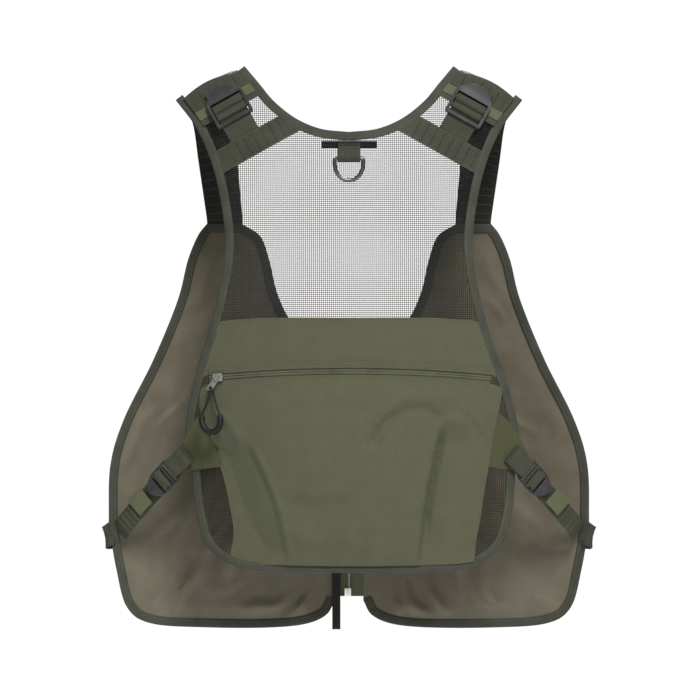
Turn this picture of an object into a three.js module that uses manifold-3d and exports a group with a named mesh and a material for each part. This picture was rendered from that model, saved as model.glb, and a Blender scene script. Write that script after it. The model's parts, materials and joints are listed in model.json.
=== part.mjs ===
// A fishing vest: a mesh back with a bellows pocket, two front halves joined by an open-end zip,
// padded shoulder straps and webbing side straps, each closed by a ladder lock.
// Millimetres, +Z up. The origin is the centre back neck point: the back lies at -Y, the front at +Y.
import * as THREE from "three";
import { mergeVertices } from "three/addons/utils/BufferGeometryUtils.js";
import Module from "manifold-3d";

const wasm = await Module();
wasm.setup();

// ---- driving dimensions -------------------------------------------------------------------
const GAP = 0.4; // between pieces that are sewn or threaded together
const BACK_Y = -85; // centre line of the back panel
const FRONT_Y = 85; // centre line of the front panels
const BACK_RADIUS = 470; // the back wraps the body on this radius
const FRONT_RADIUS = 537; // and so do the fronts
const LEAN_START = -60; // height at which the back starts to lean over the shoulder
const LEAN_RISE = 150; // height over which it leans
const LEAN_DEPTH = 70; // and how far forward it comes

const MESH_THICK = 0.9;
const BIND_WIDTH = 10.5; // visible width of the binding tape on each face
const BIND_WRAP = 1.6; // how far the binding stands out on each face
const CLOTH_THICK = 1.1;
const WEB_THICK = 1.8;
const WEB_WIDE = 38; // shoulder webbing
const WEB_NARROW = 25; // side webbing, yoke bands and neck tab
const LOOP_TAPE = 10; // hem loop

const ZIP_WIDTH = 6.4; // coil chain
const ZIP_THICK = 2.2;
const ZIP_TAPE_THICK = 1.2;
const TAPE_HALF = 17; // half width of the front zip, tapes and teeth
const FRONT_ZIP_TOP = -277;
const FRONT_ZIP_END = -561;

const POCKET_DEPTH = 24; // fullness of the back pocket
const YOKE_TOP = -223; // top edge of the cloth on the back
const BACK_ZIP_Z = -286; // height of the back zip at the middle
const BACK_ZIP_HALF = 168; // half its length, measured across
const BACK_ZIP_TILT = 15; // degrees by which the plane of its arc tips up
const BACK_ZIP_CHANNEL = 15; // width of tape left bare between the two cloth edges
const YOKE_CLOTH = 3; // cloth and lining above the zip
const SLIDER_LENGTH = 13;
const SLIDER_WIDTH = 9.5;
const SLIDER_PLATE = 1.8;
const ARCH_LENGTH = 7.6; // the arch on a slider that its puller hangs from
const ARCH_WIDTH = 2.2;
const ARCH_TOP = 5.2;
const PULLER_LENGTH = 18;
const PULLER_WIDTH = 7.4;
const PULLER_THICK = 1.2;
const PULLER_BAR = 1.5; // the bar that passes under the arch
const PULLER_SWING = 54; // how far the hanging cord pulls it round
const PULLER_LIFT = 12; // and how far the cloth holds it up
const CORD_EYE = 3.6;
const PULL_CORD = 1.2; // radius of the cord on the back puller
const PULL_GRIP = 2.9; // and of the grip moulded on it
const HANG_LOOP_HALF = 33;
const HANG_LOOP_WIDE = 9;
const SLIDER_START = -155; // where the slider rests, closed

const CARGO_DEPTH = 24;
const CHEST_DEPTH = 9;

const SHOULDER_ANGLE = 29; // slope of the yoke bands, degrees
const CREST_NECK = [126, 82]; // ends of the shoulder crest, right side
const CREST_TIP = [209, 41];
const PAD_THICK = 5;
const PAD_TAIL = 43; // how far the shoulder pad runs down the back
const STRAP_WIDTH = 43; // its width where it meets the front
// Each front opens about the line between these points, on the right; the strap is split at the head.
const OPEN_HEAD = [187, 62, -66];
const OPEN_FOOT = [297, 2, -487];
const UPPER_BAND = 22; // width of the webbing along the crest
const LOWER_BAND = 28; // width of the webbing across the mesh
const LOWER_BAND_TOP = 77; // and its distance below the crest
const LOCK_BAR = 64; // distance of the shoulder lock's fixed bar below the crest
const END_CLEAR = 4; // between the ends of the lock webbings and the bands they are sewn to
const LOCK_SHIFT = 6; // how far the lock sits towards the neck from the crest's centre

// Ladder locks: bars and windows run from the fixed bar to the lifting tongue.
const SHOULDER_LOCK = {
  width: 48, length: 55, thick: 4.2, webbing: WEB_WIDE, fixedBar: 4.5, windows: [7, 8, 6.4], bars: [4.5, 5],
};
const SIDE_LOCK = {
  width: 31,
  length: 43,
  thick: 3.6,
  webbing: WEB_NARROW,
  fixedBar: 3.5,
  windows: [6, 6.4, 5.8],
  bars: [3.5, 4],
};

const RING_WIDTH = 39.5;
const RING_HEIGHT = 31;
const RING_WIRE = 2.6; // wire radius
const TAB_WIDTH = 27;
const TAB_DROP = 29;

// Layers of the fronts, as distances out from the body.
const LINING_THICK = 1.1;
const SHELL_OUT = LINING_THICK + GAP + CLOTH_THICK;
const FRONT_BIND_OUT = SHELL_OUT + BIND_WRAP;
const TEETH_HALF = 3.2; // half width of the closed front chain
const TEETH_GAP = 0.4; // between the two rows
const CARGO = { x0: 56, x1: 240, z0: -566, z1: -338, corner: 26 };
const CHEST = { x0: 104, x1: 186, z0: -300, z1: -188, corner: 10 };
const FLAP_DROP = 36;
const FLAP_OVERHANG = 3;
const FLAP_THICK = 2;
const WING_THICK = 2.5;
const WING_END = [203, -394]; // where the side webbing leaves the wing
const STRAP_LANDING = [287, -487]; // where it reaches the edge of the front
const SIDE_LOCK_AT = 33; // from the wing's end to the middle of the side lock
const SIDE_RISE = 0.52; // how steeply the side strap comes forward
const SIDE_BASE = -49; // Y of its plane at the wing's end
const END_TAB = [25, 23]; // folded end of the side strap
const FRONT_SLIDER_DROP = 12; // from the top of the zip to its slider
const FRONT_ARCH_AT = 4.6; // the half slider's arch stands over the right half
const HEM_LOOP = { x: -15.5, top: -524, bottom: -602 };

// ---- colours ------------------------------------------------------------------------------
const finish = (color, roughness, metalness = 0) =>
  new THREE.MeshStandardMaterial({ color, roughness, metalness });
const MESH = finish(0x2b2c29, 0.8);
const BINDING = finish(0x3d4036, 0.85);
const WEBBING = finish(0x3f4137, 0.8);
const CLOTH = finish(0x585b43, 0.9);
const LINING = finish(0x5a564a, 0.5);
const PLASTIC = finish(0x3a3a3d, 0.45);
const METAL = finish(0xb9b9b7, 0.3, 1);
const COIL = finish(0x5a5c4a, 0.5);
const WHITE = finish(0xe9e9e4, 0.4);
const RUBBER = finish(0x2f2f31, 0.6);

const vest = new THREE.Group();

function add(name, geometry, material, parent = vest) {
  const mesh = new THREE.Mesh(geometry, material);
  mesh.name = name;
  parent.add(mesh);
  return mesh;
}

// ---- solids -------------------------------------------------------------------------------
function solidOf(geometry) {
  const bare = geometry.index ? geometry.toNonIndexed() : geometry.clone();
  bare.deleteAttribute("normal");
  bare.deleteAttribute("uv");
  const merged = mergeVertices(bare, 1e-3);
  return new wasm.Manifold(
    new wasm.Mesh({
      numProp: 3,
      vertProperties: merged.attributes.position.array,
      triVerts: new Uint32Array(merged.index.array),
    }),
  );
}

function geometryOf(solid) {
  const mesh = solid.getMesh();
  const geometry = new THREE.BufferGeometry();
  geometry.setAttribute("position", new THREE.BufferAttribute(new Float32Array(mesh.vertProperties), 3));
  geometry.setIndex(new THREE.BufferAttribute(new Uint32Array(mesh.triVerts), 1));
  geometry.computeVertexNormals();
  return geometry;
}

const joined = (...geometries) =>
  geometryOf(geometries.map(solidOf).reduce((all, next) => all.add(next)));

// An outline in X and Z, extruded right through the garment along Y.
function prism(outline) {
  const shape = new THREE.Shape(outline.map(([x, z]) => new THREE.Vector2(x, z)));
  const depth = 800;
  const geometry = new THREE.ExtrudeGeometry(shape, { depth, bevelEnabled: false });
  geometry.rotateX(Math.PI / 2);
  geometry.translate(0, depth / 2, 0);
  return geometry;
}

// A closed sheet between two heights over a grid: near(x, z) is the -Y face and far(x, z) the +Y face.
function slab(xs, zs, near, far) {
  const points = [];
  for (const face of [near, far])
    for (const z of zs) for (const x of xs) points.push(x, face(x, z), z);
  const index = [];
  const at = (face, i, j) => face * xs.length * zs.length + j * xs.length + i;
  const quad = (a, b, c, d) => index.push(a, b, c, a, c, d);
  for (let j = 0; j + 1 < zs.length; j++)
    for (let i = 0; i + 1 < xs.length; i++) {
      quad(at(0, i, j), at(0, i + 1, j), at(0, i + 1, j + 1), at(0, i, j + 1));
      quad(at(1, i, j), at(1, i, j + 1), at(1, i + 1, j + 1), at(1, i + 1, j));
    }
  for (let i = 0; i + 1 < xs.length; i++) {
    const top = zs.length - 1;
    quad(at(0, i, 0), at(1, i, 0), at(1, i + 1, 0), at(0, i + 1, 0));
    quad(at(0, i, top), at(0, i + 1, top), at(1, i + 1, top), at(1, i, top));
  }
  for (let j = 0; j + 1 < zs.length; j++) {
    const end = xs.length - 1;
    quad(at(0, 0, j), at(0, 0, j + 1), at(1, 0, j + 1), at(1, 0, j));
    quad(at(0, end, j), at(1, end, j), at(1, end, j + 1), at(0, end, j + 1));
  }
  const geometry = new THREE.BufferGeometry();
  geometry.setAttribute("position", new THREE.Float32BufferAttribute(points, 3));
  geometry.setIndex(index);
  return geometry;
}

// Grid lines at fixed places, so that sheets laid on each other keep one shape.
function lines(from, to, step) {
  const first = Math.floor(from / step) - 1;
  const last = Math.ceil(to / step) + 1;
  return Array.from({ length: last - first + 1 }, (_, i) => (first + i) * step);
}

const CELL = 30; // spacing of the grid lines across the body
const LEAN_CELL = 25; // and up the leaning part of the back

function rows(low, high) {
  const leaning = lines(LEAN_START, high, LEAN_CELL).filter((z) => z > LEAN_START);
  return [Math.min(low - 10, LEAN_START - 10), LEAN_START, ...leaning];
}

function panel(outline, near, far, step = CELL, zs = null) {
  const x = outline.map((p) => p[0]);
  const z = outline.map((p) => p[1]);
  const xs = lines(Math.min(...x), Math.max(...x), step);
  const levels = zs ?? rows(Math.min(...z), Math.max(...z) + LEAN_CELL);
  return geometryOf(solidOf(slab(xs, levels, near, far)).intersect(solidOf(prism(outline))));
}

// A flat outline with thickness, from a line bent in its own plane: webbing seen from its edge.
function edgeOn(points, thickness) {
  const side = (sign) =>
    points.map((p, i) => {
      const before = points[Math.max(i - 1, 0)];
      const after = points[Math.min(i + 1, points.length - 1)];
      const dx = after[0] - before[0];
      const dy = after[1] - before[1];
      const long = Math.hypot(dx, dy);
      const half = (sign * thickness) / 2;
      return new THREE.Vector2(p[0] - (half * dy) / long, p[1] + (half * dx) / long);
    });
  return new THREE.Shape([...side(-1), ...side(1).reverse()]);
}

// Webbing of a given width that follows points (along, out); it lies along +Y and stands out along +Z.
function webbing(points, width, thickness = WEB_THICK) {
  const settings = { depth: width, bevelEnabled: false };
  const geometry = new THREE.ExtrudeGeometry(edgeOn(points, thickness), settings);
  geometry.translate(0, 0, -width / 2);
  geometry.applyMatrix4(new THREE.Matrix4().set(0, 0, 1, 0, 1, 0, 0, 0, 0, 1, 0, 0, 0, 0, 0, 1));
  return geometry;
}

// A skin over sections that each have the same number of points, closed at both ends or in a ring.
function loft(sections, ring = false) {
  const sides = sections[0].length;
  const count = sections.length;
  const index = [];
  for (let s = 0; s < (ring ? count : count - 1); s++)
    for (let k = 0; k < sides; k++) {
      const next = (k + 1) % sides;
      const [a, b] = [s * sides + k, s * sides + next];
      const [c, d] = [((s + 1) % count) * sides + next, ((s + 1) % count) * sides + k];
      index.push(a, b, c, a, c, d);
    }
  const last = sides * (count - 1);
  for (let k = 1; !ring && k + 1 < sides; k++) index.push(0, k + 1, k, last, last + k, last + k + 1);
  const geometry = new THREE.BufferGeometry();
  const places = sections.flat().flatMap((p) => p.toArray());
  geometry.setAttribute("position", new THREE.Float32BufferAttribute(places, 3));
  geometry.setIndex(index);
  if (solidOf(geometry).volume() < 0) geometry.setIndex(index.reverse());
  return geometry;
}

// A round bar along points, in a ring or open, whose sections are turned by one reference direction.
function bar(points, radius, sides, reference, ring = false) {
  const count = points.length;
  return loft(
    points.map((p, i) => {
      const before = points[ring ? (i + count - 1) % count : Math.max(i - 1, 0)];
      const after = points[ring ? (i + 1) % count : Math.min(i + 1, count - 1)];
      const along = new THREE.Vector3().subVectors(after, before).normalize();
      const u = new THREE.Vector3().crossVectors(along, reference).normalize();
      const v = new THREE.Vector3().crossVectors(along, u);
      return Array.from({ length: sides }, (_, k) => {
        const turn = (2 * Math.PI * k) / sides;
        const across = u.clone().multiplyScalar(Math.cos(turn) * radius);
        return p.clone().add(across).addScaledVector(v, Math.sin(turn) * radius);
      });
    }),
    ring,
  );
}

// ---- outlines -----------------------------------------------------------------------------
const smooth = (points, count) =>
  new THREE.SplineCurve(points.map(([x, z]) => new THREE.Vector2(x, z)))
    .getPoints(count)
    .map((p) => [p.x, p.y]);
const mirrored = (points) => points.map(([x, z]) => [-x, z]).reverse();
const onSide = (side, points) => (side > 0 ? points : mirrored(points));
const shift = (points, dx, dz) => points.map(([x, z]) => [x + dx, z + dz]);

// A line moved sideways to its left by a distance, vertex by vertex.
function moved(points, distance) {
  return points.map((p, i) => {
    const before = points[Math.max(i - 1, 0)];
    const after = points[Math.min(i + 1, points.length - 1)];
    const dx = after[0] - before[0];
    const dz = after[1] - before[1];
    const long = Math.hypot(dx, dz);
    return [p[0] - (distance * dz) / long, p[1] + (distance * dx) / long];
  });
}

// A strip of tape along a line, between two distances to its left.
const tape = (points, from, to) => [...moved(points, from), ...moved(points, to).reverse()];
// A line made longer at both ends.
function extended(points, by) {
  const beyond = ([ax, az], [bx, bz]) => {
    const long = Math.hypot(ax - bx, az - bz);
    return [ax + (by * (ax - bx)) / long, az + (by * (az - bz)) / long];
  };
  return [beyond(points[0], points[1]), ...points, beyond(points.at(-1), points.at(-2))];
}
const rectangle = (x0, x1, z0, z1) => [[x0, z0], [x1, z0], [x1, z1], [x0, z1]];

function cut(geometry, ...outlines) {
  const taken = (solid, outline) => solid.subtract(solidOf(prism(outline)));
  return geometryOf(outlines.reduce(taken, solidOf(geometry)));
}

// The right half of each edge line, running so that the garment lies to its right.
const neckHalf = smooth([[0, 0], [34, 4], [64, 17], [90, 38], [108, 60], CREST_NECK], 14);
const armhole = smooth(
  [CREST_TIP, [182, 4], [162, -44], [150, -104], [149, -152], [164, -224], [187, -296],
    [200, -356], [194, -408]],
  18,
);
const hemHalf = smooth(
  [[194, -408], [190, -450], [178, -492], [154, -514], [122, -524], [60, -526], [0, -526]],
  12,
);
const neckLine = [...mirrored(neckHalf), ...neckHalf.slice(1)];
const sideLine = [...armhole, ...hemHalf.slice(1)];
const roundLine = [...sideLine, ...mirrored(sideLine).slice(1)];

const strapInner = 130; // the strap meets the front between these two
const strapOuter = strapInner + STRAP_WIDTH;
const FRONT_TOP = -107;
const zipEdge = TAPE_HALF + GAP;
const frontOuter = smooth(
  [[strapOuter, FRONT_TOP], [184, -122], [196, -152], [208, -200], [237, -272], [272, -344],
    [288, -400], [290, -470]],
  14,
);
const frontHem = smooth(
  [[290, -470], [281, -525], [268, -572], [238, -592], [170, -598], [100, -599], [54, -595],
    [28, -584], [zipEdge, -566]],
  16,
);
const frontNeck = smooth(
  [[zipEdge, FRONT_ZIP_TOP], [48, -250], [72, -224], [88, -190], [97, -152], [108, -122],
    [strapInner, FRONT_TOP]],
  12,
);
const frontEdge = [...frontNeck, ...frontOuter, ...frontHem.slice(1)];

// ---- the two body surfaces ------------------------------------------------------------------
const wrap = (x, radius) => radius - Math.sqrt(radius * radius - Math.min(x * x, 0.9 * radius * radius));
const lean = (z) => (z > LEAN_START ? LEAN_DEPTH * ((z - LEAN_START) / LEAN_RISE) ** 2 : 0);
const backSurface = (x, z) => BACK_Y + wrap(x, BACK_RADIUS) + lean(z);
const frontSurface = (x) => FRONT_Y - wrap(x, FRONT_RADIUS);
// Sheets lie between two distances outwards, which is -Y on the back and +Y on the front.
const backSheet = (outline, low, high, step) =>
  panel(outline, (x, z) => backSurface(x, z) - high, (x, z) => backSurface(x, z) - low, step);
const frontSheet = (outline, low, high, step) =>
  panel(outline, (x) => frontSurface(x) + low, (x) => frontSurface(x) + high, step);

// A filled pocket between a flat inner face and a face that swells towards the middle of a box.
function pocket(outline, surface, outSign, base, edge, fullness, cell) {
  const x = outline.map((p) => p[0]);
  const z = outline.map((p) => p[1]);
  const [x0, x1, z0, z1] = [Math.min(...x), Math.max(...x), Math.min(...z), Math.max(...z)];
  const hump = (t) => Math.max(Math.sin(Math.PI * Math.min(Math.max(t, 0), 1)), 0);
  const swell = (px, pz) => hump((px - x0) / (x1 - x0)) ** 0.6 * hump((pz - z0) / (z1 - z0));
  const out = (px, pz) => base + edge + fullness * swell(px, pz);
  const inside = (px, pz) => surface(px, pz) + outSign * base;
  const outside = (px, pz) => surface(px, pz) + outSign * out(px, pz);
  const levels = lines(z0, z1, cell);
  const [near, far] = outSign < 0 ? [outside, inside] : [inside, outside];
  return panel(outline, near, far, cell, levels);
}

// ---- places on the shoulder -------------------------------------------------------------------
const crestCentre = [(CREST_NECK[0] + CREST_TIP[0]) / 2, (CREST_NECK[1] + CREST_TIP[1]) / 2];
const slope = THREE.MathUtils.degToRad(SHOULDER_ANGLE);
const acrossWay = [-Math.cos(slope), Math.sin(slope)]; // towards the neck, on the right side
const downWay = [-Math.sin(slope), -Math.cos(slope)];
// A point on the right yoke: across is towards the neck, down is from the crest.
const yoke = (across, down) => [
  crestCentre[0] + across * acrossWay[0] + down * downWay[0],
  crestCentre[1] + across * acrossWay[1] + down * downWay[1],
];
const yokeStrip = (side, from, to, half = 90) =>
  onSide(side, [yoke(-half, from), yoke(half, from), yoke(half, to), yoke(-half, to)]);

// A group at a point of a surface: +Y points up along the surface, +Z stands out from it, +X is across.
function seat(surface, outSign, [x, z], [upX, upZ], out, parent = vest) {
  const tangent = (dx, dz) => new THREE.Vector3(dx, surface(x + dx, z + dz) - surface(x, z), dz).normalize();
  const up = tangent(upX, upZ);
  const normal = new THREE.Vector3().crossVectors(up, tangent(-upZ, upX)).normalize();
  if (normal.y * outSign < 0) normal.negate();
  const across = new THREE.Vector3().crossVectors(up, normal);
  const group = new THREE.Group();
  const place = new THREE.Matrix4().makeBasis(across, up, normal);
  place.setPosition(new THREE.Vector3(x, surface(x, z), z).addScaledVector(normal, out));
  place.decompose(group.position, group.quaternion, group.scale);
  parent.add(group);
  return group;
}

// ---- back panel -------------------------------------------------------------------------------
const SKIN = MESH_THICK + GAP; // where what lies on the mesh begins
const edgeBand = (line) => tape(line, -BIND_WIDTH - GAP, BIND_WIDTH);
const padArea = (side) => yokeStrip(side, -80, PAD_TAIL + GAP);
const backOutline = [...neckLine, ...roundLine.slice(0, -1)];
function insideEdges(geometry) {
  const within = geometryOf(solidOf(geometry).intersect(solidOf(prism(backOutline))));
  return cut(within, edgeBand(neckLine), edgeBand(roundLine));
}
add("back_mesh", cut(insideEdges(backSheet(backOutline, 0, MESH_THICK)), padArea(-1), padArea(1)), MESH);
add("neck_binding", backSheet(tape(neckLine, -BIND_WIDTH, 0), -BIND_WRAP, MESH_THICK + BIND_WRAP), BINDING);
add("back_binding", backSheet(tape(roundLine, -BIND_WIDTH, 0), -BIND_WRAP, MESH_THICK + BIND_WRAP), BINDING);

// ---- small hardware -----------------------------------------------------------------------------
function roundedShape(width, height, corner) {
  const [w, h] = [width / 2 - corner, height / 2 - corner];
  return new THREE.Shape()
    .absarc(w, h, corner, 0, Math.PI / 2)
    .absarc(-w, h, corner, Math.PI / 2, Math.PI)
    .absarc(-w, -h, corner, Math.PI, 1.5 * Math.PI)
    .absarc(w, -h, corner, 1.5 * Math.PI, 2 * Math.PI);
}

const roundedBox = (width, height, depth, corner) =>
  new THREE.ExtrudeGeometry(roundedShape(width, height, corner), {
    depth,
    bevelEnabled: false,
    curveSegments: 3,
  });
const box = (w, h, d, x, y, z) => new THREE.BoxGeometry(w, h, d).translate(x, y, z + d / 2);

// A flat plate with windows through it, each given by its box [x0, x1, y0, y1].
function plate(geometry, windows, depth) {
  const holes = windows.map(([x0, x1, y0, y1]) =>
    box(x1 - x0, y1 - y0, 4 * depth, (x0 + x1) / 2, (y0 + y1) / 2, -depth),
  );
  return geometryOf(holes.reduce((solid, hole) => solid.subtract(solidOf(hole)), solidOf(geometry)));
}

// A zip slider seen from outside, its travel along X; the arch that holds its puller is turned by swing.
function sliderBody(swing) {
  const turn = THREE.MathUtils.degToRad(swing);
  const arch = box(ARCH_LENGTH, ARCH_WIDTH, ARCH_TOP - 1, 0, 0, 1).rotateZ(turn);
  const room = [ARCH_LENGTH - 2.4, SLIDER_LENGTH, PULLER_THICK + 2 * GAP];
  const hollow = box(...room, 0, 0, SLIDER_PLATE).rotateZ(turn);
  const base = roundedBox(SLIDER_LENGTH, SLIDER_WIDTH, SLIDER_PLATE, 2);
  return geometryOf(solidOf(base).add(solidOf(arch)).subtract(solidOf(hollow)));
}

// Its puller lies along -X; the bar at its near end, at the origin, passes under the arch.
function pullerBody() {
  const length = PULLER_LENGTH + PULLER_BAR;
  const centre = PULLER_BAR / 2 - length / 2;
  const eye = ARCH_WIDTH / 2 + GAP + 0.3;
  const blank = roundedBox(length, PULLER_WIDTH, PULLER_THICK, 0.6).translate(centre, 0, 0);
  const windows = [
    [-PULLER_BAR / 2 - ARCH_LENGTH / 2 - 1, -PULLER_BAR / 2, -eye, eye],
    [-PULLER_LENGTH + 1.3, -PULLER_LENGTH + 1.3 + CORD_EYE, -CORD_EYE / 2, CORD_EYE / 2],
  ];
  return plate(blank, windows, PULLER_THICK).translate(0, 0, -PULLER_THICK / 2);
}

// A ladder lock lies flat with its fixed bar at the +Y end and its lifting tongue at the -Y end.
// Y positions of the edges of its bars, counted from the fixed bar.
function lockEdges({ length, fixedBar, windows, bars }) {
  const edges = [length / 2, length / 2 - fixedBar];
  windows.forEach((window, i) => {
    edges.push(edges.at(-1) - window);
    if (i < bars.length) edges.push(edges.at(-1) - bars[i]);
  });
  return edges;
}

function lockBody(lock) {
  const e = lockEdges(lock);
  const half = lock.webbing / 2 + 2 * GAP;
  const blank = roundedBox(lock.width, lock.length, lock.thick, lock.width / 6);
  const windows = [[e[2], e[1]], [e[4], e[3]], [e[6], e[5]]];
  return plate(blank, windows.map((ends) => [-half, half, ...ends]), lock.thick);
}

// The strap that the lock grips comes up through the last window, over the bar and down through the next.
function grippedStrap(lock, tail) {
  const e = lockEdges(lock);
  const under = -GAP - WEB_THICK / 2;
  const over = lock.thick + GAP + WEB_THICK / 2;
  return [
    [e[6] + 0.4, under], [(e[5] + e[6]) / 2, lock.thick / 2], [e[5] - 0.5, over],
    [e[4] + 0.5, over], [(e[3] + e[4]) / 2, lock.thick / 2], [e[3] - 0.4, under], [e[3] + tail, under],
  ];
}

// The webbing that holds the lock folds round its fixed bar, from below to above.
function foldedRound(lock) {
  const e = lockEdges(lock);
  const [under, over] = [-GAP - WEB_THICK / 2, lock.thick + GAP + WEB_THICK / 2];
  const inner = e[1] - GAP - WEB_THICK / 2;
  const corner = 1.4;
  return [
    [e[0], under],
    [inner + corner, under],
    [inner, under + corner],
    [inner, over - corner],
    [inner + corner, over],
    [e[0], over],
  ];
}

// ---- back pocket and its zip --------------------------------------------------------------------
const zipDrop = (x) => Math.tan(THREE.MathUtils.degToRad(BACK_ZIP_TILT)) * wrap(x, BACK_RADIUS);
const zipLine = lines(-BACK_ZIP_HALF, BACK_ZIP_HALF, 14)
  .filter((x) => Math.abs(x) <= BACK_ZIP_HALF)
  .map((x) => [x, BACK_ZIP_Z - zipDrop(x)]);
const CHAIN_OUT = SKIN + ZIP_TAPE_THICK + ZIP_THICK;
add(
  "back_zip",
  joined(
    backSheet(tape(zipLine, -BACK_ZIP_CHANNEL / 2, BACK_ZIP_CHANNEL / 2), SKIN, SKIN + ZIP_TAPE_THICK, 14),
    backSheet(tape(zipLine, -ZIP_WIDTH / 2, ZIP_WIDTH / 2), SKIN, CHAIN_OUT, 14),
  ),
  COIL,
);

const channel = BACK_ZIP_CHANNEL / 2 + GAP;
const beyond = 260;
const endDrop = zipDrop(BACK_ZIP_HALF) + 12;
const wideZipLine = [[-beyond, BACK_ZIP_Z - endDrop], ...zipLine, [beyond, BACK_ZIP_Z - endDrop]];
const clothTop = smooth(
  [[-240, YOKE_TOP - 12], [-120, YOKE_TOP], [0, YOKE_TOP + 1], [120, YOKE_TOP], [240, YOKE_TOP - 12]],
  8,
);
const clothArea = [...clothTop, ...moved(wideZipLine, channel).reverse()];
add("back_yoke_cloth", insideEdges(backSheet(clothArea, SKIN, SKIN + YOKE_CLOTH, 15)), CLOTH);

const pocketSide = smooth([[183, -306], [176, -340], [168, -372], [158, -420], [151, -470], [147, -513]], 7);
const pocketOutline = [...mirrored(pocketSide), ...moved(zipLine, -channel).slice(1, -1), ...pocketSide];
add("back_pocket", insideEdges(pocket(pocketOutline, backSurface, -1, SKIN, 3, POCKET_DEPTH, 30)), CLOTH);

const sliderAt = [SLIDER_START, BACK_ZIP_Z - zipDrop(SLIDER_START)];
const chainWay = [1, zipDrop(SLIDER_START) - zipDrop(SLIDER_START + 1)];
const sliderSeat = seat(backSurface, -1, sliderAt, [-chainWay[1], chainWay[0]], CHAIN_OUT + GAP);
const swingSeat = new THREE.Group();
swingSeat.rotation.z = THREE.MathUtils.degToRad(PULLER_SWING);
sliderSeat.add(swingSeat);
const pullerSeat = new THREE.Group();
pullerSeat.rotation.y = THREE.MathUtils.degToRad(PULLER_LIFT);
pullerSeat.position.z = SLIDER_PLATE + GAP + PULLER_THICK / 2;
swingSeat.add(pullerSeat);
add("back_zip_slider", sliderBody(PULLER_SWING), METAL, sliderSeat);
add("back_zip_puller", pullerBody(), METAL, pullerSeat);

// ---- neck tab and its ring ------------------------------------------------------------------------
const tabSeat = seat(backSurface, -1, [0, -BIND_WIDTH - GAP], [0, 1], SKIN);
const ringOut = WEB_THICK + GAP + RING_WIRE;
const ringDrop = TAB_DROP - ringOut;
const foldRadius = RING_WIRE + GAP + WEB_THICK / 2;
const fold = [-15, -45, -75, -105, -135, -165].map((degrees) => {
  const turn = THREE.MathUtils.degToRad(degrees);
  return [-ringDrop + foldRadius * Math.sin(turn), ringOut - foldRadius * Math.cos(turn)];
});
const tabTop = WEB_THICK * 1.5 + GAP;
const tabPath = [
  [-0.5, WEB_THICK / 2], [-ringDrop, WEB_THICK / 2], ...fold, [-ringDrop + 2, ringOut + foldRadius],
  [-5, tabTop], [-0.5, tabTop],
];
add("neck_tab", webbing(tabPath, TAB_WIDTH), WEBBING, tabSeat);

const ringHalf = RING_WIDTH / 2 - RING_WIRE;
const ringBow = RING_HEIGHT - 2 * RING_WIRE;
const ringPoints = [new THREE.Vector3(-ringHalf + 2, 0, 0), new THREE.Vector3(ringHalf - 2, 0, 0)];
for (let i = 0; i <= 10; i++) {
  const turn = (Math.PI * i) / 10;
  const bow = Math.sin(turn) ** 0.8;
  ringPoints.push(new THREE.Vector3(ringHalf * Math.cos(turn), -2 - (ringBow - 2) * bow, 0));
}
const ringSeat = new THREE.Group();
ringSeat.position.set(0, -ringDrop, ringOut);
const tabWay = new THREE.Vector3(0, 1, 0).applyQuaternion(tabSeat.quaternion);
ringSeat.rotation.x = Math.atan2(tabWay.y, tabWay.z); // it hangs plumb
tabSeat.add(ringSeat);
add("neck_ring", bar(ringPoints, RING_WIRE, 8, new THREE.Vector3(0, 0, 1), true), METAL, ringSeat);

// ---- shoulders --------------------------------------------------------------------------------------
const towards = (points) => new THREE.CatmullRomCurve3(points, false, "centripetal").getPoints(14);
// Inner face of the strap over the crest and down the front: neck edge and arm edge, [x, y, z].
const strapCourse = [
  [yoke(33, 5), yoke(-33, 5)].map(([x, z]) => [x, backSurface(x, z) + 0.5, z]),
  [[137, -3, 71], [194, -8, 42]],
  [[134, 18, 76], [196, 14, 43]],
  [[131, 42, 61], [194, 37, 30]],
  [[133, 58, 28], [188, 52, 7]],
  [[136, 65, -20], [183, 56, -30]],
  [[strapInner, frontSurface(strapInner), FRONT_TOP + GAP], [strapOuter, frontSurface(strapOuter), FRONT_TOP + GAP]],
];
const neckEdge = towards(strapCourse.map(([p]) => new THREE.Vector3(...p)));
const armEdge = towards(strapCourse.map(([, p]) => new THREE.Vector3(...p)));

function strapSections(side) {
  return neckEdge.map((neck, i) => {
    const arm = armEdge[i];
    const before = neckEdge[Math.max(i - 1, 0)];
    const after = neckEdge[Math.min(i + 1, neckEdge.length - 1)];
    const along = new THREE.Vector3().subVectors(after, before);
    const out = new THREE.Vector3().subVectors(arm, neck).cross(along).normalize();
    if (i === neckEdge.length - 1) out.set(0, 1, 0);
    const raised = (point) => point.clone().addScaledVector(out, PAD_THICK);
    const corners = [neck, arm, raised(arm), raised(neck)];
    return corners.map((p) => new THREE.Vector3(side * p.x, p.y, p.z));
  });
}

// Each front opens about a line outside its outer edge; across it, the strap is split square.
const fronts = { left: vest, right: vest };
const openWay = new THREE.Vector3(...OPEN_FOOT).sub(new THREE.Vector3(...OPEN_HEAD)).normalize();
function keptSide(geometry, side, sign) {
  const size = 900;
  const half = new THREE.BoxGeometry(size, size, size).translate(0, 0, sign * (size / 2 + GAP / 2));
  const way = new THREE.Vector3(side * openWay.x, openWay.y, openWay.z);
  half.applyQuaternion(new THREE.Quaternion().setFromUnitVectors(new THREE.Vector3(0, 0, 1), way));
  half.translate(side * OPEN_HEAD[0], OPEN_HEAD[1], OPEN_HEAD[2]);
  return geometryOf(solidOf(geometry).intersect(solidOf(half)));
}

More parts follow.
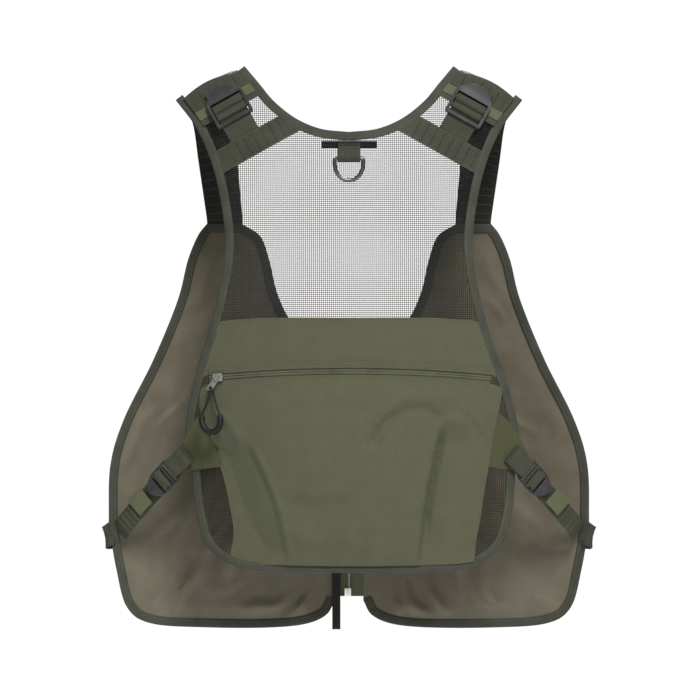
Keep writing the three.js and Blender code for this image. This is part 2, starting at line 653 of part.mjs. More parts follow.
for (const [side, hand] of [[-1, "left"], [1, "right"]]) {
  const backPad = insideEdges(backSheet(yokeStrip(side, 2, PAD_TAIL), 0, PAD_THICK));
  const course = joined(backPad, loft(strapSections(side)));
  add(`shoulder_pad_${hand}`, keptSide(course, side, -1), LINING);
  add(`front_strap_${hand}`, keptSide(course, side, 1), LINING, fronts[hand]);
  const ON_PAD = PAD_THICK + GAP;
  const crestBand = insideEdges(backSheet(yokeStrip(side, 7, UPPER_BAND), ON_PAD, ON_PAD + WEB_THICK));
  add(`yoke_band_upper_${hand}`, crestBand, WEBBING);
  const meshBand = yokeStrip(side, LOWER_BAND_TOP, LOWER_BAND_TOP + LOWER_BAND);
  add(`yoke_band_lower_${hand}`, insideEdges(backSheet(meshBand, SKIN, SKIN + WEB_THICK)), WEBBING);

  const lockDown = LOCK_BAR - SHOULDER_LOCK.length / 2 + SHOULDER_LOCK.fixedBar / 2;
  const [x, z] = yoke(LOCK_SHIFT, lockDown);
  const surface = (px, pz) => backSurface(px, pz);
  const way = [side * downWay[0], downWay[1]];
  const lockOut = ON_PAD + WEB_THICK + GAP;
  const group = seat(surface, -1, [side * x, z], way, lockOut);
  add(`shoulder_lock_${hand}`, lockBody(SHOULDER_LOCK), PLASTIC, group);
  // Height of the cloth below the lock's underside, at a distance towards the fixed bar.
  group.updateWorldMatrix(true, false);
  const ground = (along, out) => {
    const [px, pz] = [side * x + along * way[0], z + along * way[1]];
    const local = group.worldToLocal(new THREE.Vector3(px, surface(px, pz), pz));
    return [local.y, local.z + out];
  };
  const onMesh = LOWER_BAND_TOP - lockDown - END_CLEAR;
  const sewn = SKIN + WEB_THICK / 2; // the webbing's middle where it lies on the mesh
  const holder = [ground(onMesh, sewn), ground(onMesh - 6, sewn), ...foldedRound(SHOULDER_LOCK)];
  add(`lock_webbing_${hand}`, webbing(holder, SHOULDER_LOCK.webbing), WEBBING, group);
  const nearCrest = UPPER_BAND - lockDown + END_CLEAR;
  const threaded = [ground(nearCrest, ON_PAD + WEB_THICK / 2), ...grippedStrap(SHOULDER_LOCK, 4)];
  add(`shoulder_webbing_${hand}`, webbing(threaded, SHOULDER_LOCK.webbing), WEBBING, group);
}

// ---- side wings, straps and locks ------------------------------------------------------------------
const wingOutline = [
  [150, -330], [178, -334], [190, -347], [202, -368], [211, -386], [196, -405], [150, -400],
];
const sideSurface = (side) => (x) => SIDE_BASE + SIDE_RISE * (side * x - WING_END[0]);
const sideSpan = [STRAP_LANDING[0] - WING_END[0], STRAP_LANDING[1] - WING_END[1]];
const sideReach = Math.hypot(...sideSpan, SIDE_RISE * sideSpan[0]);
const ON_BIND = MESH_THICK + BIND_WRAP + GAP;

for (const [side, hand] of [[-1, "left"], [1, "right"]]) {
  const wing = backSheet(onSide(side, wingOutline), ON_BIND, ON_BIND + WING_THICK);
  add(`wing_${hand}`, cut(wing, tape(onSide(side, pocketSide), -60, GAP)), CLOTH);

  const share = SIDE_LOCK_AT / sideReach;
  const lockAt = [side * (WING_END[0] + share * sideSpan[0]), WING_END[1] + share * sideSpan[1]];
  const group = seat(sideSurface(side), -1, lockAt, [-side * sideSpan[0], -sideSpan[1]], 0);
  const e = lockEdges(SIDE_LOCK);
  const [under, above] = [-GAP - WEB_THICK / 2, WEB_THICK / 2];
  const holder = [
    [SIDE_LOCK_AT + 14, under],
    ...foldedRound(SIDE_LOCK),
    [SIDE_LOCK_AT, above],
    [SIDE_LOCK_AT + 13, above],
  ];
  add(`wing_webbing_${hand}`, webbing(holder, SIDE_LOCK.webbing), WEBBING, group);
  add(`side_lock_${hand}`, lockBody(SIDE_LOCK), PLASTIC, group);
  const strap = [[SIDE_LOCK_AT - sideReach, under], ...grippedStrap(SIDE_LOCK, 3)];
  add(`side_strap_${hand}`, webbing(strap, SIDE_LOCK.webbing), WEBBING, group);
  const end = roundedBox(END_TAB[0], END_TAB[1], WEB_THICK * 2, 1.5).translate(side * 3, e[6] - 32, GAP / 2);
  add(`strap_end_${hand}`, end, WEBBING, group);

  const [lx, lz] = STRAP_LANDING;
  const corners = [[lx - 28, lz + 20], [lx - 30, lz - 12], [lx - 4, lz - 16], [lx - 2, lz + 16]];
  const anchor = onSide(side, corners);
  const sewnOn = FRONT_BIND_OUT + GAP;
  const anchorSheet = frontSheet(anchor, sewnOn, sewnOn + WEB_THICK);
  add(`strap_anchor_${hand}`, anchorSheet, WEBBING, fronts[hand]);
}

// ---- fronts ------------------------------------------------------------------------------------------
const rounded = ({ x0, x1, z0, z1, corner }) => {
  const shape = roundedShape(x1 - x0, z1 - z0, corner);
  return shift(shape.getPoints(4).map((p) => [p.x, p.y]), (x0 + x1) / 2, (z0 + z1) / 2);
};
const ON_SHELL = SHELL_OUT + GAP;
const plain = (x) => frontSurface(x);

for (const [side, hand] of [[-1, "left"], [1, "right"]]) {
  const parent = fronts[hand];
  const edge = onSide(side, frontEdge);
  const seams = [edge, onSide(side, frontNeck), onSide(side, frontOuter)];
  const bound = seams.map((line) => extended(line, 2 * GAP));
  const trim = (geometry) => cut(geometry, ...bound.map((line) => tape(line, -BIND_WIDTH - GAP, BIND_WIDTH)));
  add(`front_lining_${hand}`, trim(frontSheet(edge, 0, LINING_THICK)), LINING, parent);
  add(`front_shell_${hand}`, trim(frontSheet(edge, LINING_THICK + GAP, SHELL_OUT)), CLOTH, parent);
  const bindingSheet = frontSheet(tape(edge, -BIND_WIDTH, 0), -BIND_WRAP, FRONT_BIND_OUT);
  add(`front_binding_${hand}`, bindingSheet, BINDING, parent);

  const [near, far] = [TEETH_GAP / 2, TEETH_HALF];
  const zipTape = rectangle(near, TAPE_HALF, FRONT_ZIP_END, FRONT_ZIP_TOP);
  const teeth = rectangle(near, far, FRONT_ZIP_END + 10, FRONT_ZIP_TOP);
  add(
    `front_zip_${hand}`,
    joined(
      frontSheet(onSide(side, zipTape), 0.5, 0.5 + ZIP_TAPE_THICK),
      frontSheet(onSide(side, teeth), 0, ZIP_THICK),
    ),
    COIL, parent,
  );

  const cargo = pocket(onSide(side, rounded(CARGO)), plain, 1, ON_SHELL, 2, CARGO_DEPTH, 30);
  add(`cargo_pocket_${hand}`, cargo, CLOTH, parent);
  const cargoZip = { ...CARGO, z0: CARGO.z1 + GAP, z1: CARGO.z1 + GAP + 14, corner: 3 };
  const chainFoot = CARGO.z1 + 4;
  const cargoChain = {
    x0: CARGO.x0 + 4,
    x1: CARGO.x1 - 4,
    z0: chainFoot,
    z1: chainFoot + ZIP_WIDTH,
    corner: 2,
  };
  add(
    `cargo_zip_${hand}`,
    joined(
      frontSheet(onSide(side, rounded(cargoZip)), ON_SHELL, ON_SHELL + ZIP_TAPE_THICK),
      frontSheet(onSide(side, rounded(cargoChain)), ON_SHELL, ON_SHELL + ZIP_TAPE_THICK + ZIP_THICK),
    ),
    COIL, parent,
  );

  const chest = pocket(onSide(side, rounded(CHEST)), plain, 1, ON_SHELL, 2, CHEST_DEPTH - 2, 16);
  add(`chest_pocket_${hand}`, chest, CLOTH, parent);
  const flapTop = CHEST.z1 + 8;
  const flapBox = {
    x0: CHEST.x0 - FLAP_OVERHANG,
    x1: CHEST.x1 + FLAP_OVERHANG,
    z0: flapTop - FLAP_DROP,
    z1: flapTop,
    corner: 4,
  };
  const flapIn = (x, z) => frontSurface(x) + ON_SHELL + 0.3 * (flapTop + 2 - z);
  const flap = panel(onSide(side, rounded(flapBox)), flapIn, (x, z) => flapIn(x, z) + FLAP_THICK);
  add(`chest_flap_${hand}`, flap, CLOTH, parent);
}

// The open end of the front zip: a box on the left half, the pin on the right half.
const footEnds = [FRONT_ZIP_END, FRONT_ZIP_END + 9.6];
const boxOutline = rectangle(-5.4, -TEETH_GAP / 2, ...footEnds);
const pinOutline = rectangle(TEETH_GAP / 2, 2.6, ...footEnds);
add("front_zip_box", frontSheet(boxOutline, -1.4, 0.1), WHITE, fronts.left);
add("front_zip_pin", frontSheet(pinOutline, -1.4, 0.1), WHITE, fronts.right);

// The front slider rides on the right half only, so that the left half is free to swing away.
const frontSeat = seat(plain, 1, [0, FRONT_ZIP_TOP - FRONT_SLIDER_DROP], [0, 1], ZIP_THICK + GAP);
const halfSlider = solidOf(sliderBody(0).rotateZ(Math.PI / 2).translate(-FRONT_ARCH_AT, 0, 0));
const reach = 2 * SLIDER_LENGTH;
const keep = box(reach, reach, 2 * reach, -(reach + TEETH_GAP) / 2, 0, -reach);
add("front_zip_slider", geometryOf(halfSlider.intersect(solidOf(keep))), METAL, frontSeat);
const pullerRise = SLIDER_PLATE + GAP + PULLER_THICK / 2;
const frontPuller = pullerBody().rotateZ(Math.PI / 2).translate(-FRONT_ARCH_AT, 0, pullerRise);
add("front_zip_puller", frontPuller, METAL, frontSeat);

// A loop of narrow tape to hold the hem by, inside the left front beside the zip.
const { x: loopX, top: loopTop, bottom: loopBottom } = HEM_LOOP;
const loopPlate = rectangle(loopX - LOOP_TAPE / 2, loopX + LOOP_TAPE / 2, loopBottom, loopTop);
add("hem_loop", frontSheet(loopPlate, -BIND_WRAP - GAP - 1.6, -BIND_WRAP - GAP), WEBBING, fronts.left);

// ---- cords --------------------------------------------------------------------------------------------
const onBack = ([x, z, out]) => new THREE.Vector3(x, backSurface(x, z) - out, z);
// The cord of the back zip goes through the puller's eye and hangs down to a moulded grip.
const eyeAt = new THREE.Vector3(-PULLER_LENGTH + 1.3 + CORD_EYE / 2, 0, 0);
pullerSeat.updateWorldMatrix(true, false);
const eye = pullerSeat.localToWorld(eyeAt.clone());
const eyeOut = backSurface(eye.x, eye.z) - eye.y;
const drop = (dx, dz, out) => onBack([eye.x + dx, eye.z + dz, out]);
const pullCourse = [
  drop(0, 0, eyeOut), drop(0.4, -0.8, eyeOut + 3), drop(-4, -10, eyeOut + 7), drop(-7.5, -30, eyeOut + 13),
  drop(-7, -42, eyeOut + 16), drop(1, -52, eyeOut + 18), drop(9, -42, eyeOut + 16), drop(8.5, -30, eyeOut + 13),
  drop(6, -10, eyeOut + 4.5), drop(2.4, -1.6, eyeOut - 2.6),
];
const pullRing = new THREE.CatmullRomCurve3(pullCourse, true).getPoints(30).slice(0, -1);
const gripArc = pullRing.slice(10, 18);
const sideways = new THREE.Vector3(0.35, 1, 0.2);
add(
  "back_zip_pull",
  joined(bar(pullRing, PULL_CORD, 6, sideways, true), bar(gripArc, PULL_GRIP, 6, sideways)),
  RUBBER,
);

// A loop of the same webbing to hang the vest by, behind the neck tab.
const hangPath = [-1, -0.5, 0, 0.5, 1].map((t) => {
  const along = t * HANG_LOOP_HALF;
  return [along, 0.8 + wrap(along, BACK_RADIUS) + 2 * (1 - t * t)];
});
const hangSeat = seat(backSurface, 1, [0, -BIND_WIDTH - GAP - HANG_LOOP_WIDE / 2], [1, 0], GAP);
add("hang_loop", webbing(hangPath, HANG_LOOP_WIDE, 1.2), WEBBING, hangSeat);

export default vest;
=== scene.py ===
"""A fishing vest: the finished look of each piece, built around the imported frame.

Lengths in the classes are millimetres in the vest's own frame: +Z up as worn, the back panel faces -Y.
Every mesh is turned to metres when it is made.
"""

from __future__ import annotations

import json
import logging
import math
from dataclasses import dataclass, field
from enum import Enum
from typing import Any, Callable, Sequence

import bmesh
import bpy
import numpy as np
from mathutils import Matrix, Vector
from mathutils.geometry import delaunay_2d_cdt

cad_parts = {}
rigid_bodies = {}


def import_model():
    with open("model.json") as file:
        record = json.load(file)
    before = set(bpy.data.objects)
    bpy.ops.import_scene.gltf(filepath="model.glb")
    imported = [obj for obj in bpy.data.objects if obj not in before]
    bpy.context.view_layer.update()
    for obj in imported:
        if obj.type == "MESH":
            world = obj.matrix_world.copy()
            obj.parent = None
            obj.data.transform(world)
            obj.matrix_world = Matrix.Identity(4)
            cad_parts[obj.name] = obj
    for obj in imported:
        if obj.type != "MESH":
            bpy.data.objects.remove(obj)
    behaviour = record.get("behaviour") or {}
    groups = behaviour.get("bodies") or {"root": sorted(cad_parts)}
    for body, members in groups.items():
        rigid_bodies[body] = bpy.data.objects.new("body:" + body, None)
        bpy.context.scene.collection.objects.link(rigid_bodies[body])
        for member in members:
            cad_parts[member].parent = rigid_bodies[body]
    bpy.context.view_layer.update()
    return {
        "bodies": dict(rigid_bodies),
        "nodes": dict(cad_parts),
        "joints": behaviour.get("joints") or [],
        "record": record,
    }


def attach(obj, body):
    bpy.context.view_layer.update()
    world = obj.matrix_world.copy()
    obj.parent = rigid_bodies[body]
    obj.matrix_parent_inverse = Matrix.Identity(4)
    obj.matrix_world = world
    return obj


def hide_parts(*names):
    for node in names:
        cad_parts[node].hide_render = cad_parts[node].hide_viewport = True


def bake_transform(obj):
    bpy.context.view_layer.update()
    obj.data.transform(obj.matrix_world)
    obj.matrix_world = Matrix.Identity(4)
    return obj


LOG = logging.getLogger("vest")
MM = 0.001
WEB_THICK = 1.8
SHOULDER_WEB = 38
SIDE_WEB = 25
Place = Callable[[np.ndarray, np.ndarray], np.ndarray]


class Hand(Enum):
    """A side of the vest, as its wearer has it, and the sign of X there."""

    LEFT = -1
    RIGHT = 1

    @property
    def word(self) -> str:
        """The side's name at the end of a piece's name."""
        return self.name.lower()


# ---- lines and outlines ------------------------------------------------------------------------


def line_of(*points: tuple[float, float]) -> np.ndarray:
    """A list of points as an array."""
    return np.array(points, float)


def smooth(points: np.ndarray, pitch: float = 4.0) -> np.ndarray:
    """A Catmull-Rom line through points, evenly spaced.

    Args:
        points: the points it passes through, in two or three dimensions.
        pitch: about how far apart the new points lie.

    Returns:
        The new points.
    """
    p = np.asarray(points, float)
    padded = np.vstack([2 * p[0] - p[1], p, 2 * p[-1] - p[-2]])
    t = np.linspace(0, 1, 24, endpoint=False)[:, None]
    parts = []
    for i in range(len(p) - 1):
        a, b, c, d = padded[i : i + 4]
        parts.append(
            0.5 * (
                2 * b + (c - a) * t + (2 * a - 5 * b + 4 * c - d) * t**2 + (3 * b - a - 3 * c + d) * t**3
            )
        )
    return even(np.vstack([*parts, p[-1:]]), pitch)


def even(points: np.ndarray, pitch: float) -> np.ndarray:
    """The same line with its points evenly spaced, about a pitch apart."""
    steps = np.linalg.norm(np.diff(points, axis=0), axis=1)
    far = np.concatenate([[0], np.cumsum(steps)])
    count = max(2, int(round(far[-1] / pitch)) + 1)
    at = np.linspace(0, far[-1], count)
    return np.column_stack([np.interp(at, far, points[:, k]) for k in range(points.shape[1])])


def mirrored(points: np.ndarray) -> np.ndarray:
    """A line on the other side of the vest, still running with the cloth on its right."""
    return (points * np.array([-1, 1]))[::-1]


def handed(hand: Hand, points: np.ndarray) -> np.ndarray:
    """A right-hand line on either side."""
    return points if hand is Hand.RIGHT else mirrored(points)


def lefts(line: np.ndarray, closed: bool = False) -> np.ndarray:
    """The unit normal on the left of a flat line, at each point."""
    way = np.roll(line, -1, 0) - np.roll(line, 1, 0) if closed else np.gradient(line, axis=0)
    normal = np.column_stack([-way[:, 1], way[:, 0]])
    return normal / np.maximum(np.linalg.norm(normal, axis=1), 1e-9)[:, None]


def moved(line: np.ndarray, by: float, closed: bool = False) -> np.ndarray:
    """A flat line moved to its left."""
    return line + lefts(line, closed) * by


def within(x: np.ndarray, z: np.ndarray, outline: np.ndarray) -> np.ndarray:
    """Which points lie inside a closed outline."""
    inside = np.zeros(x.shape, bool)
    for (x0, z0), (x1, z1) in zip(outline, np.roll(outline, -1, 0)):
        if z0 == z1:
            continue
        crosses = (z0 > z) != (z1 > z)
        inside ^= crosses & (x < (x1 - x0) * (z - z0) / (z1 - z0) + x0)
    return inside


def gap_to(x: np.ndarray, z: np.ndarray, line: np.ndarray) -> np.ndarray:
    """The distance of points from a flat line."""
    best = np.full(x.shape, 1e9)
    for a, b in zip(line[:-1], line[1:]):
        way = b - a
        t = np.clip(((x - a[0]) * way[0] + (z - a[1]) * way[1]) / max(way @ way, 1e-9), 0, 1)
        best = np.minimum(best, np.hypot(x - a[0] - t * way[0], z - a[1] - t * way[1]))
    return best


def ripple(x: np.ndarray, z: np.ndarray, seed: float = 0.0) -> np.ndarray:
    """A smooth uneven field between about -1 and 1, with swells about a unit wide."""
    total = np.zeros(np.broadcast(x, z).shape)
    for k in range(6):
        turn = 2.4 * k + seed
        grow = 1 + 0.45 * k
        wave = np.cos(turn) * x + np.sin(turn) * z
        total = total + np.sin(grow * wave * 2.6 + 1.7 * k + 3 * seed) / grow
    return total / 2.2


# ---- the garment's form --------------------------------------------------------------------------


@dataclass(frozen=True)
class Form:
    """The two surfaces that the back and the fronts follow."""

    back_y: float = -85
    front_y: float = 85
    back_radius: float = 470
    front_radius: float = 537
    lean_start: float = -60
    lean_rise: float = 150
    lean_depth: float = 70
    sway: float = 6  # the hem of the back hangs this far to one side
    sway_from: float = -230
    sway_over: float = 230
    drape: float = 3.2  # how far the fronts wave in and out

    def back_surface(self, x: np.ndarray, z: np.ndarray) -> np.ndarray:
        """Y of the inner face of the back."""
        wrap = self.back_radius - np.sqrt(
            self.back_radius**2 - np.minimum(x * x, 0.9 * self.back_radius**2)
        )
        lean = self.lean_depth * (np.maximum(z - self.lean_start, 0) / self.lean_rise) ** 2
        return self.back_y + wrap + lean

    def front_surface(self, x: np.ndarray, z: np.ndarray) -> np.ndarray:
        """Y of the inner face of the fronts, with the soft waves of hanging cloth."""
        wrap = self.front_radius - np.sqrt(
            self.front_radius**2 - np.minimum(x * x, 0.9 * self.front_radius**2)
        )
        free = np.clip((np.abs(x) - 30) / 90, 0, 1) * np.clip((-110 - z) / 120, 0, 1)
        return self.front_y - wrap + self.drape * free * ripple(x / 115, z / 260, 1.3)

    def back(self, out: float | np.ndarray = 0.0) -> Place:
        """Places points at a distance outside the back."""

        def place(x: np.ndarray, z: np.ndarray) -> np.ndarray:
            t = np.clip((self.sway_from - z) / self.sway_over, 0, 1)
            return np.column_stack([x + self.sway * t * t * (3 - 2 * t), self.back_surface(x, z) - out, z])

        return place

    def front(self, out: float | np.ndarray = 0.0) -> Place:
        """Places points at a distance outside the fronts."""
        return lambda x, z: np.column_stack([x, self.front_surface(x, z) + out, z])

    def lining_folds(self, x: np.ndarray, z: np.ndarray) -> np.ndarray:
        """How far the loose lining stands in from its shell, in slanting folds."""
        side = np.sign(x) + (x == 0)
        slant, steep = side * x * 0.86 + z * 0.5, side * x * 0.5 - z * 0.86
        soft = 1 + ripple(slant / 60, steep / 120, 0.9)
        sharp = np.maximum(ripple(slant / 26 + 0.8 * ripple(x / 90, z / 90, 3.0), steep / 90, 2.2), 0)
        low = np.clip((-330 - z) / 200, 0, 1)
        free = np.clip((np.abs(x) - 28) / 30, 0, 1) * np.clip((-125 - z) / 40, 0, 1)
        return free * (1.6 * soft + (2.6 + 5.4 * low) * sharp**1.2)


FORM = Form()


@dataclass(frozen=True)
class Pattern:
    """The seam lines of the vest: right halves that run with the cloth on their right."""

    crest_neck: tuple[float, float] = (126, 82)
    crest_tip: tuple[float, float] = (209, 41)
    tape_half: float = 17
    zip_top: float = -277
    zip_foot: float = -561
    front_top: float = -107
    strap_inner: float = 130
    strap_width: float = 43

    @property
    def neck(self) -> np.ndarray:
        """The back neckline, from arm to arm."""
        half = smooth(line_of((0, 0), (34, 4), (64, 17), (90, 38), (108, 60), self.crest_neck))
        return np.vstack([mirrored(half)[:-1], half])

    @property
    def armhole(self) -> np.ndarray:
        """The right side of the back, from the shoulder to the wing."""
        return smooth(
            line_of(
                self.crest_tip, (182, 4), (162, -44), (150, -104), (149, -152), (164, -224), (187, -296),
                (200, -356), (194, -408),
            )
        )

    @property
    def round_back(self) -> np.ndarray:
        """Both armholes and the hem, from shoulder to shoulder."""
        hem = smooth(
            line_of((194, -408), (190, -450), (178, -492), (154, -514), (122, -524), (60, -526), (0, -526))
        )
        half = np.vstack([self.armhole, hem[1:]])
        return np.vstack([half, mirrored(half)[1:]])

    @property
    def back(self) -> np.ndarray:
        """The whole back, closed."""
        return np.vstack([self.neck, self.round_back[:-1]])

    @property
    def front(self) -> np.ndarray:
        """The right front, from the top of the zip round to its foot."""
        strap_outer = self.strap_inner + self.strap_width
        edge = self.tape_half + 0.4
        neck = smooth(
            line_of(
                (edge, self.zip_top), (48, -250), (72, -224), (88, -190), (97, -152), (108, -122),
                (self.strap_inner, self.front_top),
            )
        )
        outer = smooth(
            line_of(
                (strap_outer, self.front_top), (184, -122), (196, -152), (208, -200), (237, -272),
                (272, -344),
                (288, -400), (290, -470),
            )
        )
        hem = smooth(
            line_of(
                (290, -470), (281, -525), (268, -572), (238, -592), (170, -598), (100, -599), (54, -595),
                (28, -584), (edge, -566),
            )
        )
        return np.vstack([neck, outer, hem[1:]])


PATTERN = Pattern()


# ---- finishes ------------------------------------------------------------------------------------


def linear(colour: str) -> tuple[float, float, float, float]:
    """An sRGB hex colour as linear light."""
    parts = [int(colour[i : i + 2], 16) / 255 for i in (1, 3, 5)]
    return (*[c / 12.92 if c <= 0.04045 else ((c + 0.055) / 1.055) ** 2.4 for c in parts], 1.0)


def node(tree: bpy.types.NodeTree, kind: str, links: dict[str, Any] | None = None, **settings: Any) -> Any:
    """Adds a node.

    Args:
        tree: the tree it goes into.
        kind: its Blender type.
        links: socket name or number to a value, or to another node's output socket.
        settings: the node's own properties.

    Returns:
        The node.
    """
    made = tree.nodes.new(kind)
    for key, value in settings.items():
        setattr(made, key, value)
    for key, value in (links or {}).items():
        socket = made.inputs[key]
        if isinstance(value, bpy.types.NodeSocket):
            tree.links.new(value, socket)
        else:
            socket.default_value = value
    return made


class Weave(Enum):
    """What a surface is made of, which decides its pattern."""

    BRUSHED_KNIT = "softshell: a fine matt face with a faint diagonal"
    SATIN = "a smooth float weave that shines along its folds"
    RIBBED = "webbing: heavy yarns in ribs along its length"
    TAPE = "grosgrain: fine ribs across the tape"
    YARN = "a single filament yarn"
    MOULDED = "plastic with a fine spark-eroded grain"
    PLATED = "polished and plated metal"


@dataclass(frozen=True)
class Finish:
    """One material, named for the real stuff, with its colours and its pattern in millimetres."""

    name: str
    colour: str
    shade: str
    weave: Weave
    roughness: float = 0.8
    metallic: float = 0.0
    sheen: float = 0.0
    pitch: float = 1.0
    relief: float = 0.1
    mottle: float = 30.0

    def material(self) -> bpy.types.Material:
        """Makes the material once, and gives it back after that."""
        known = bpy.data.materials.get(self.name)
        if known:
            return known
        made = bpy.data.materials.new(self.name)
        made.use_nodes = True
        tree = made.node_tree
        shader = tree.nodes["Principled BSDF"]
        shader.inputs["Roughness"].default_value = self.roughness
        shader.inputs["Metallic"].default_value = self.metallic
        shader.inputs["Sheen Weight"].default_value = self.sheen
        shader.inputs["Sheen Roughness"].default_value = 0.4
        if self.roughness >= 0.5:
            shader.inputs["Specular IOR Level"].default_value = 0.14
        where = node(tree, "ShaderNodeTexCoord")
        cloth = self.weave in (Weave.BRUSHED_KNIT, Weave.SATIN, Weave.RIBBED, Weave.TAPE)
        spot = where.outputs["UV" if cloth else "Object"]
        patches = node(
            tree, "ShaderNodeTexNoise",
            {"Vector": where.outputs["Object"], "Scale": 1 / (self.mottle * MM), "Detail": 4.0,
             "Roughness": 0.6},
        )
        spread = node(tree, "ShaderNodeMapRange", {"Value": patches.outputs["Fac"], 1: 0.36, 2: 0.64})
        height, colour_by = self.pattern(tree, spot, spread.outputs["Result"])
        ramp = node(tree, "ShaderNodeMix", {"Factor": colour_by}, data_type="RGBA")
        ramp.inputs["A"].default_value = linear(self.shade)
        ramp.inputs["B"].default_value = linear(self.colour)
        tree.links.new(ramp.outputs["Result"], shader.inputs["Base Color"])
        bump = node(
            tree, "ShaderNodeBump", {"Height": height, "Distance": self.relief * MM, "Strength": 1.0}
        )
        tree.links.new(bump.outputs["Normal"], shader.inputs["Normal"])
        return made

    def bands(self, tree: bpy.types.NodeTree, spot: Any, pitch: float, way: str, bend: float = 0.0) -> Any:
        """Evenly spaced bands, a pitch in millimetres apart."""
        return node(
            tree, "ShaderNodeTexWave",
            {"Vector": spot, "Scale": 0.31416 / (pitch * MM), "Distortion": bend, "Detail": 1.0},
            bands_direction=way,
        ).outputs["Fac"]

    def join(self, tree: bpy.types.NodeTree, first: Any, second: Any, how: str, share: float = 1.0) -> Any:
        """Two patterns as one number, the second scaled by its share."""
        part = node(tree, "ShaderNodeMath", {0: second, 1: share}, operation="MULTIPLY")
        return node(tree, "ShaderNodeMath", {0: first, 1: part.outputs[0]}, operation=how).outputs[0]

    def pattern(self, tree: bpy.types.NodeTree, spot: Any, patches: Any) -> tuple[Any, Any]:
        """The height and the colour share of this finish's pattern."""
        grain = node(
            tree, "ShaderNodeTexNoise", {"Vector": spot, "Scale": 1 / (self.pitch * MM), "Detail": 3.0}
        )
        fine = grain.outputs["Fac"]
        if self.weave is Weave.RIBBED:
            ribs = self.bands(tree, spot, self.pitch, "Y")
            picks = self.bands(tree, spot, self.pitch * 1.3, "X", 0.6)
            height = self.join(tree, ribs, picks, "MULTIPLY")
            return height, self.join(
                tree, self.join(tree, height, patches, "MULTIPLY", 0.9), fine, "ADD", 0.3
            )
        if self.weave is Weave.TAPE:
            ribs = self.bands(tree, spot, self.pitch, "X")
            return ribs, self.join(tree, self.join(tree, ribs, patches, "MULTIPLY"), fine, "ADD", 0.3)
        if self.weave is Weave.SATIN:
            floats = self.bands(tree, spot, self.pitch, "X", 1.5)
            height = self.join(tree, floats, fine, "ADD", 0.6)
            return height, self.join(
                tree, self.join(tree, patches, floats, "MULTIPLY", 0.7), fine, "ADD", 0.35
            )
        if self.weave is Weave.BRUSHED_KNIT:
            drawn = node(tree, "ShaderNodeMapping", {"Vector": spot, "Scale": (0.35, 1.0, 1.0)})
            slub = node(
                tree, "ShaderNodeTexNoise",
                {"Vector": drawn.outputs[0], "Scale": 1 / (1.0 * MM), "Detail": 1.0}
            ).outputs["Fac"]
            lines = self.bands(tree, spot, self.pitch, "DIAGONAL", 0.8)
            height = self.join(tree, self.join(tree, lines, fine, "ADD", 1.2), slub, "ADD", 1.6)
            part = self.join(tree, lines, patches, "ADD", 0.3)
            tone = self.join(tree, part, slub, "ADD", 2.4)
            return height, node(
                tree, "ShaderNodeMapRange", {"Value": tone, 1: 0.8, 2: 2.7}
            ).outputs["Result"]
        return fine, patches


# Brushed three-layer softshell: a matt face that takes soft shade, with a fine diagonal.
SOFTSHELL = Finish(
    "olive_softshell", "#3d3e2f", "#2d2e21", Weave.BRUSHED_KNIT, 0.88, pitch=1.3, relief=0.1, mottle=18
)
# The same cloth from a darker roll, used where the straps are sewn on.
DARK_SOFTSHELL = Finish(
    "dark_olive_softshell", "#313221", "#272919", Weave.BRUSHED_KNIT, 0.88, pitch=1.3, relief=0.06
)
# Taupe polyester satin: long floats that shine along the folds.
LINING = Finish(
    "taupe_satin_lining", "#4e4a3e", "#3d392f", Weave.SATIN, 0.5, sheen=0.0, pitch=0.8, relief=0.03
)
# Folded knitted tape: matt, with fine ribs across it.
BINDING = Finish("folded_binding_tape", "#30312a", "#24251f", Weave.TAPE, 0.85, pitch=1.2, relief=0.1)
# Woven polypropylene: heavy yarns that catch light in rows.
WEBBING = Finish("polypropylene_webbing", "#323429", "#1f2019", Weave.RIBBED, 0.7, pitch=1.9, relief=0.45)
# The same weave in a near-black yarn.
DARK_WEBBING = Finish(
    "dark_polypropylene_webbing", "#1b1b18", "#11110f", Weave.RIBBED, 0.75, pitch=1.9, relief=0.45
)
# Olive grosgrain: a dense rib across the tape.
OLIVE_TAPE = Finish("olive_grosgrain", "#404330", "#343727", Weave.TAPE, 0.78, pitch=1.1, relief=0.08)
# Warp-knitted polyester monofilament, dull and dark, and made darker still as painted shade, so the mesh
# windows over the shadowed lining read dark.
MESH_YARN = Finish("warp_knit_mesh_yarn", "#161615", "#0e0e0d", Weave.YARN, 0.9, pitch=0.6, relief=0.05)
# Bonded nylon thread, a touch lighter than the tape it is sewn through.
OLIVE_THREAD = Finish("olive_bonded_thread", "#464835", "#393b2a", Weave.YARN, 0.65, pitch=0.4, relief=0.04)
# The same thread in the webbing's own tone, for bar tacks.
DARK_THREAD = Finish("dark_bonded_thread", "#282a20", "#1f2018", Weave.YARN, 0.65, pitch=0.4, relief=0.04)
# Woven-in nylon coil: smooth monofilament with small highlights.
COIL = Finish("nylon_coil", "#4f4e42", "#414036", Weave.YARN, 0.6, pitch=0.5, relief=0.03)
# Injection-moulded acetal: dark, with a fine sparked grain.
ACETAL = Finish(
    "moulded_black_acetal", "#242425", "#1b1b1c", Weave.MOULDED, 0.5, pitch=0.35, relief=0.015, mottle=12
)
# White moulded resin: clean and slightly glossy.
WHITE_RESIN = Finish(
    "white_moulded_resin", "#c9c9c2", "#b8b8b2", Weave.MOULDED, 0.35, pitch=0.4, relief=0.01
)
# Nickel plate on die-cast zinc: bright, a little worn.
NICKEL = Finish(
    "bright_nickel_plate", "#83837f", "#6a6a67", Weave.PLATED, 0.28, metallic=1.0, pitch=0.8, relief=0.01
)
# Gunmetal plate on steel wire: a soft grey reflection.
GUNMETAL = Finish(
    "gunmetal_plate", "#4c4c4c", "#3c3c3c", Weave.PLATED, 0.38, metallic=1.0, pitch=0.8, relief=0.01
)
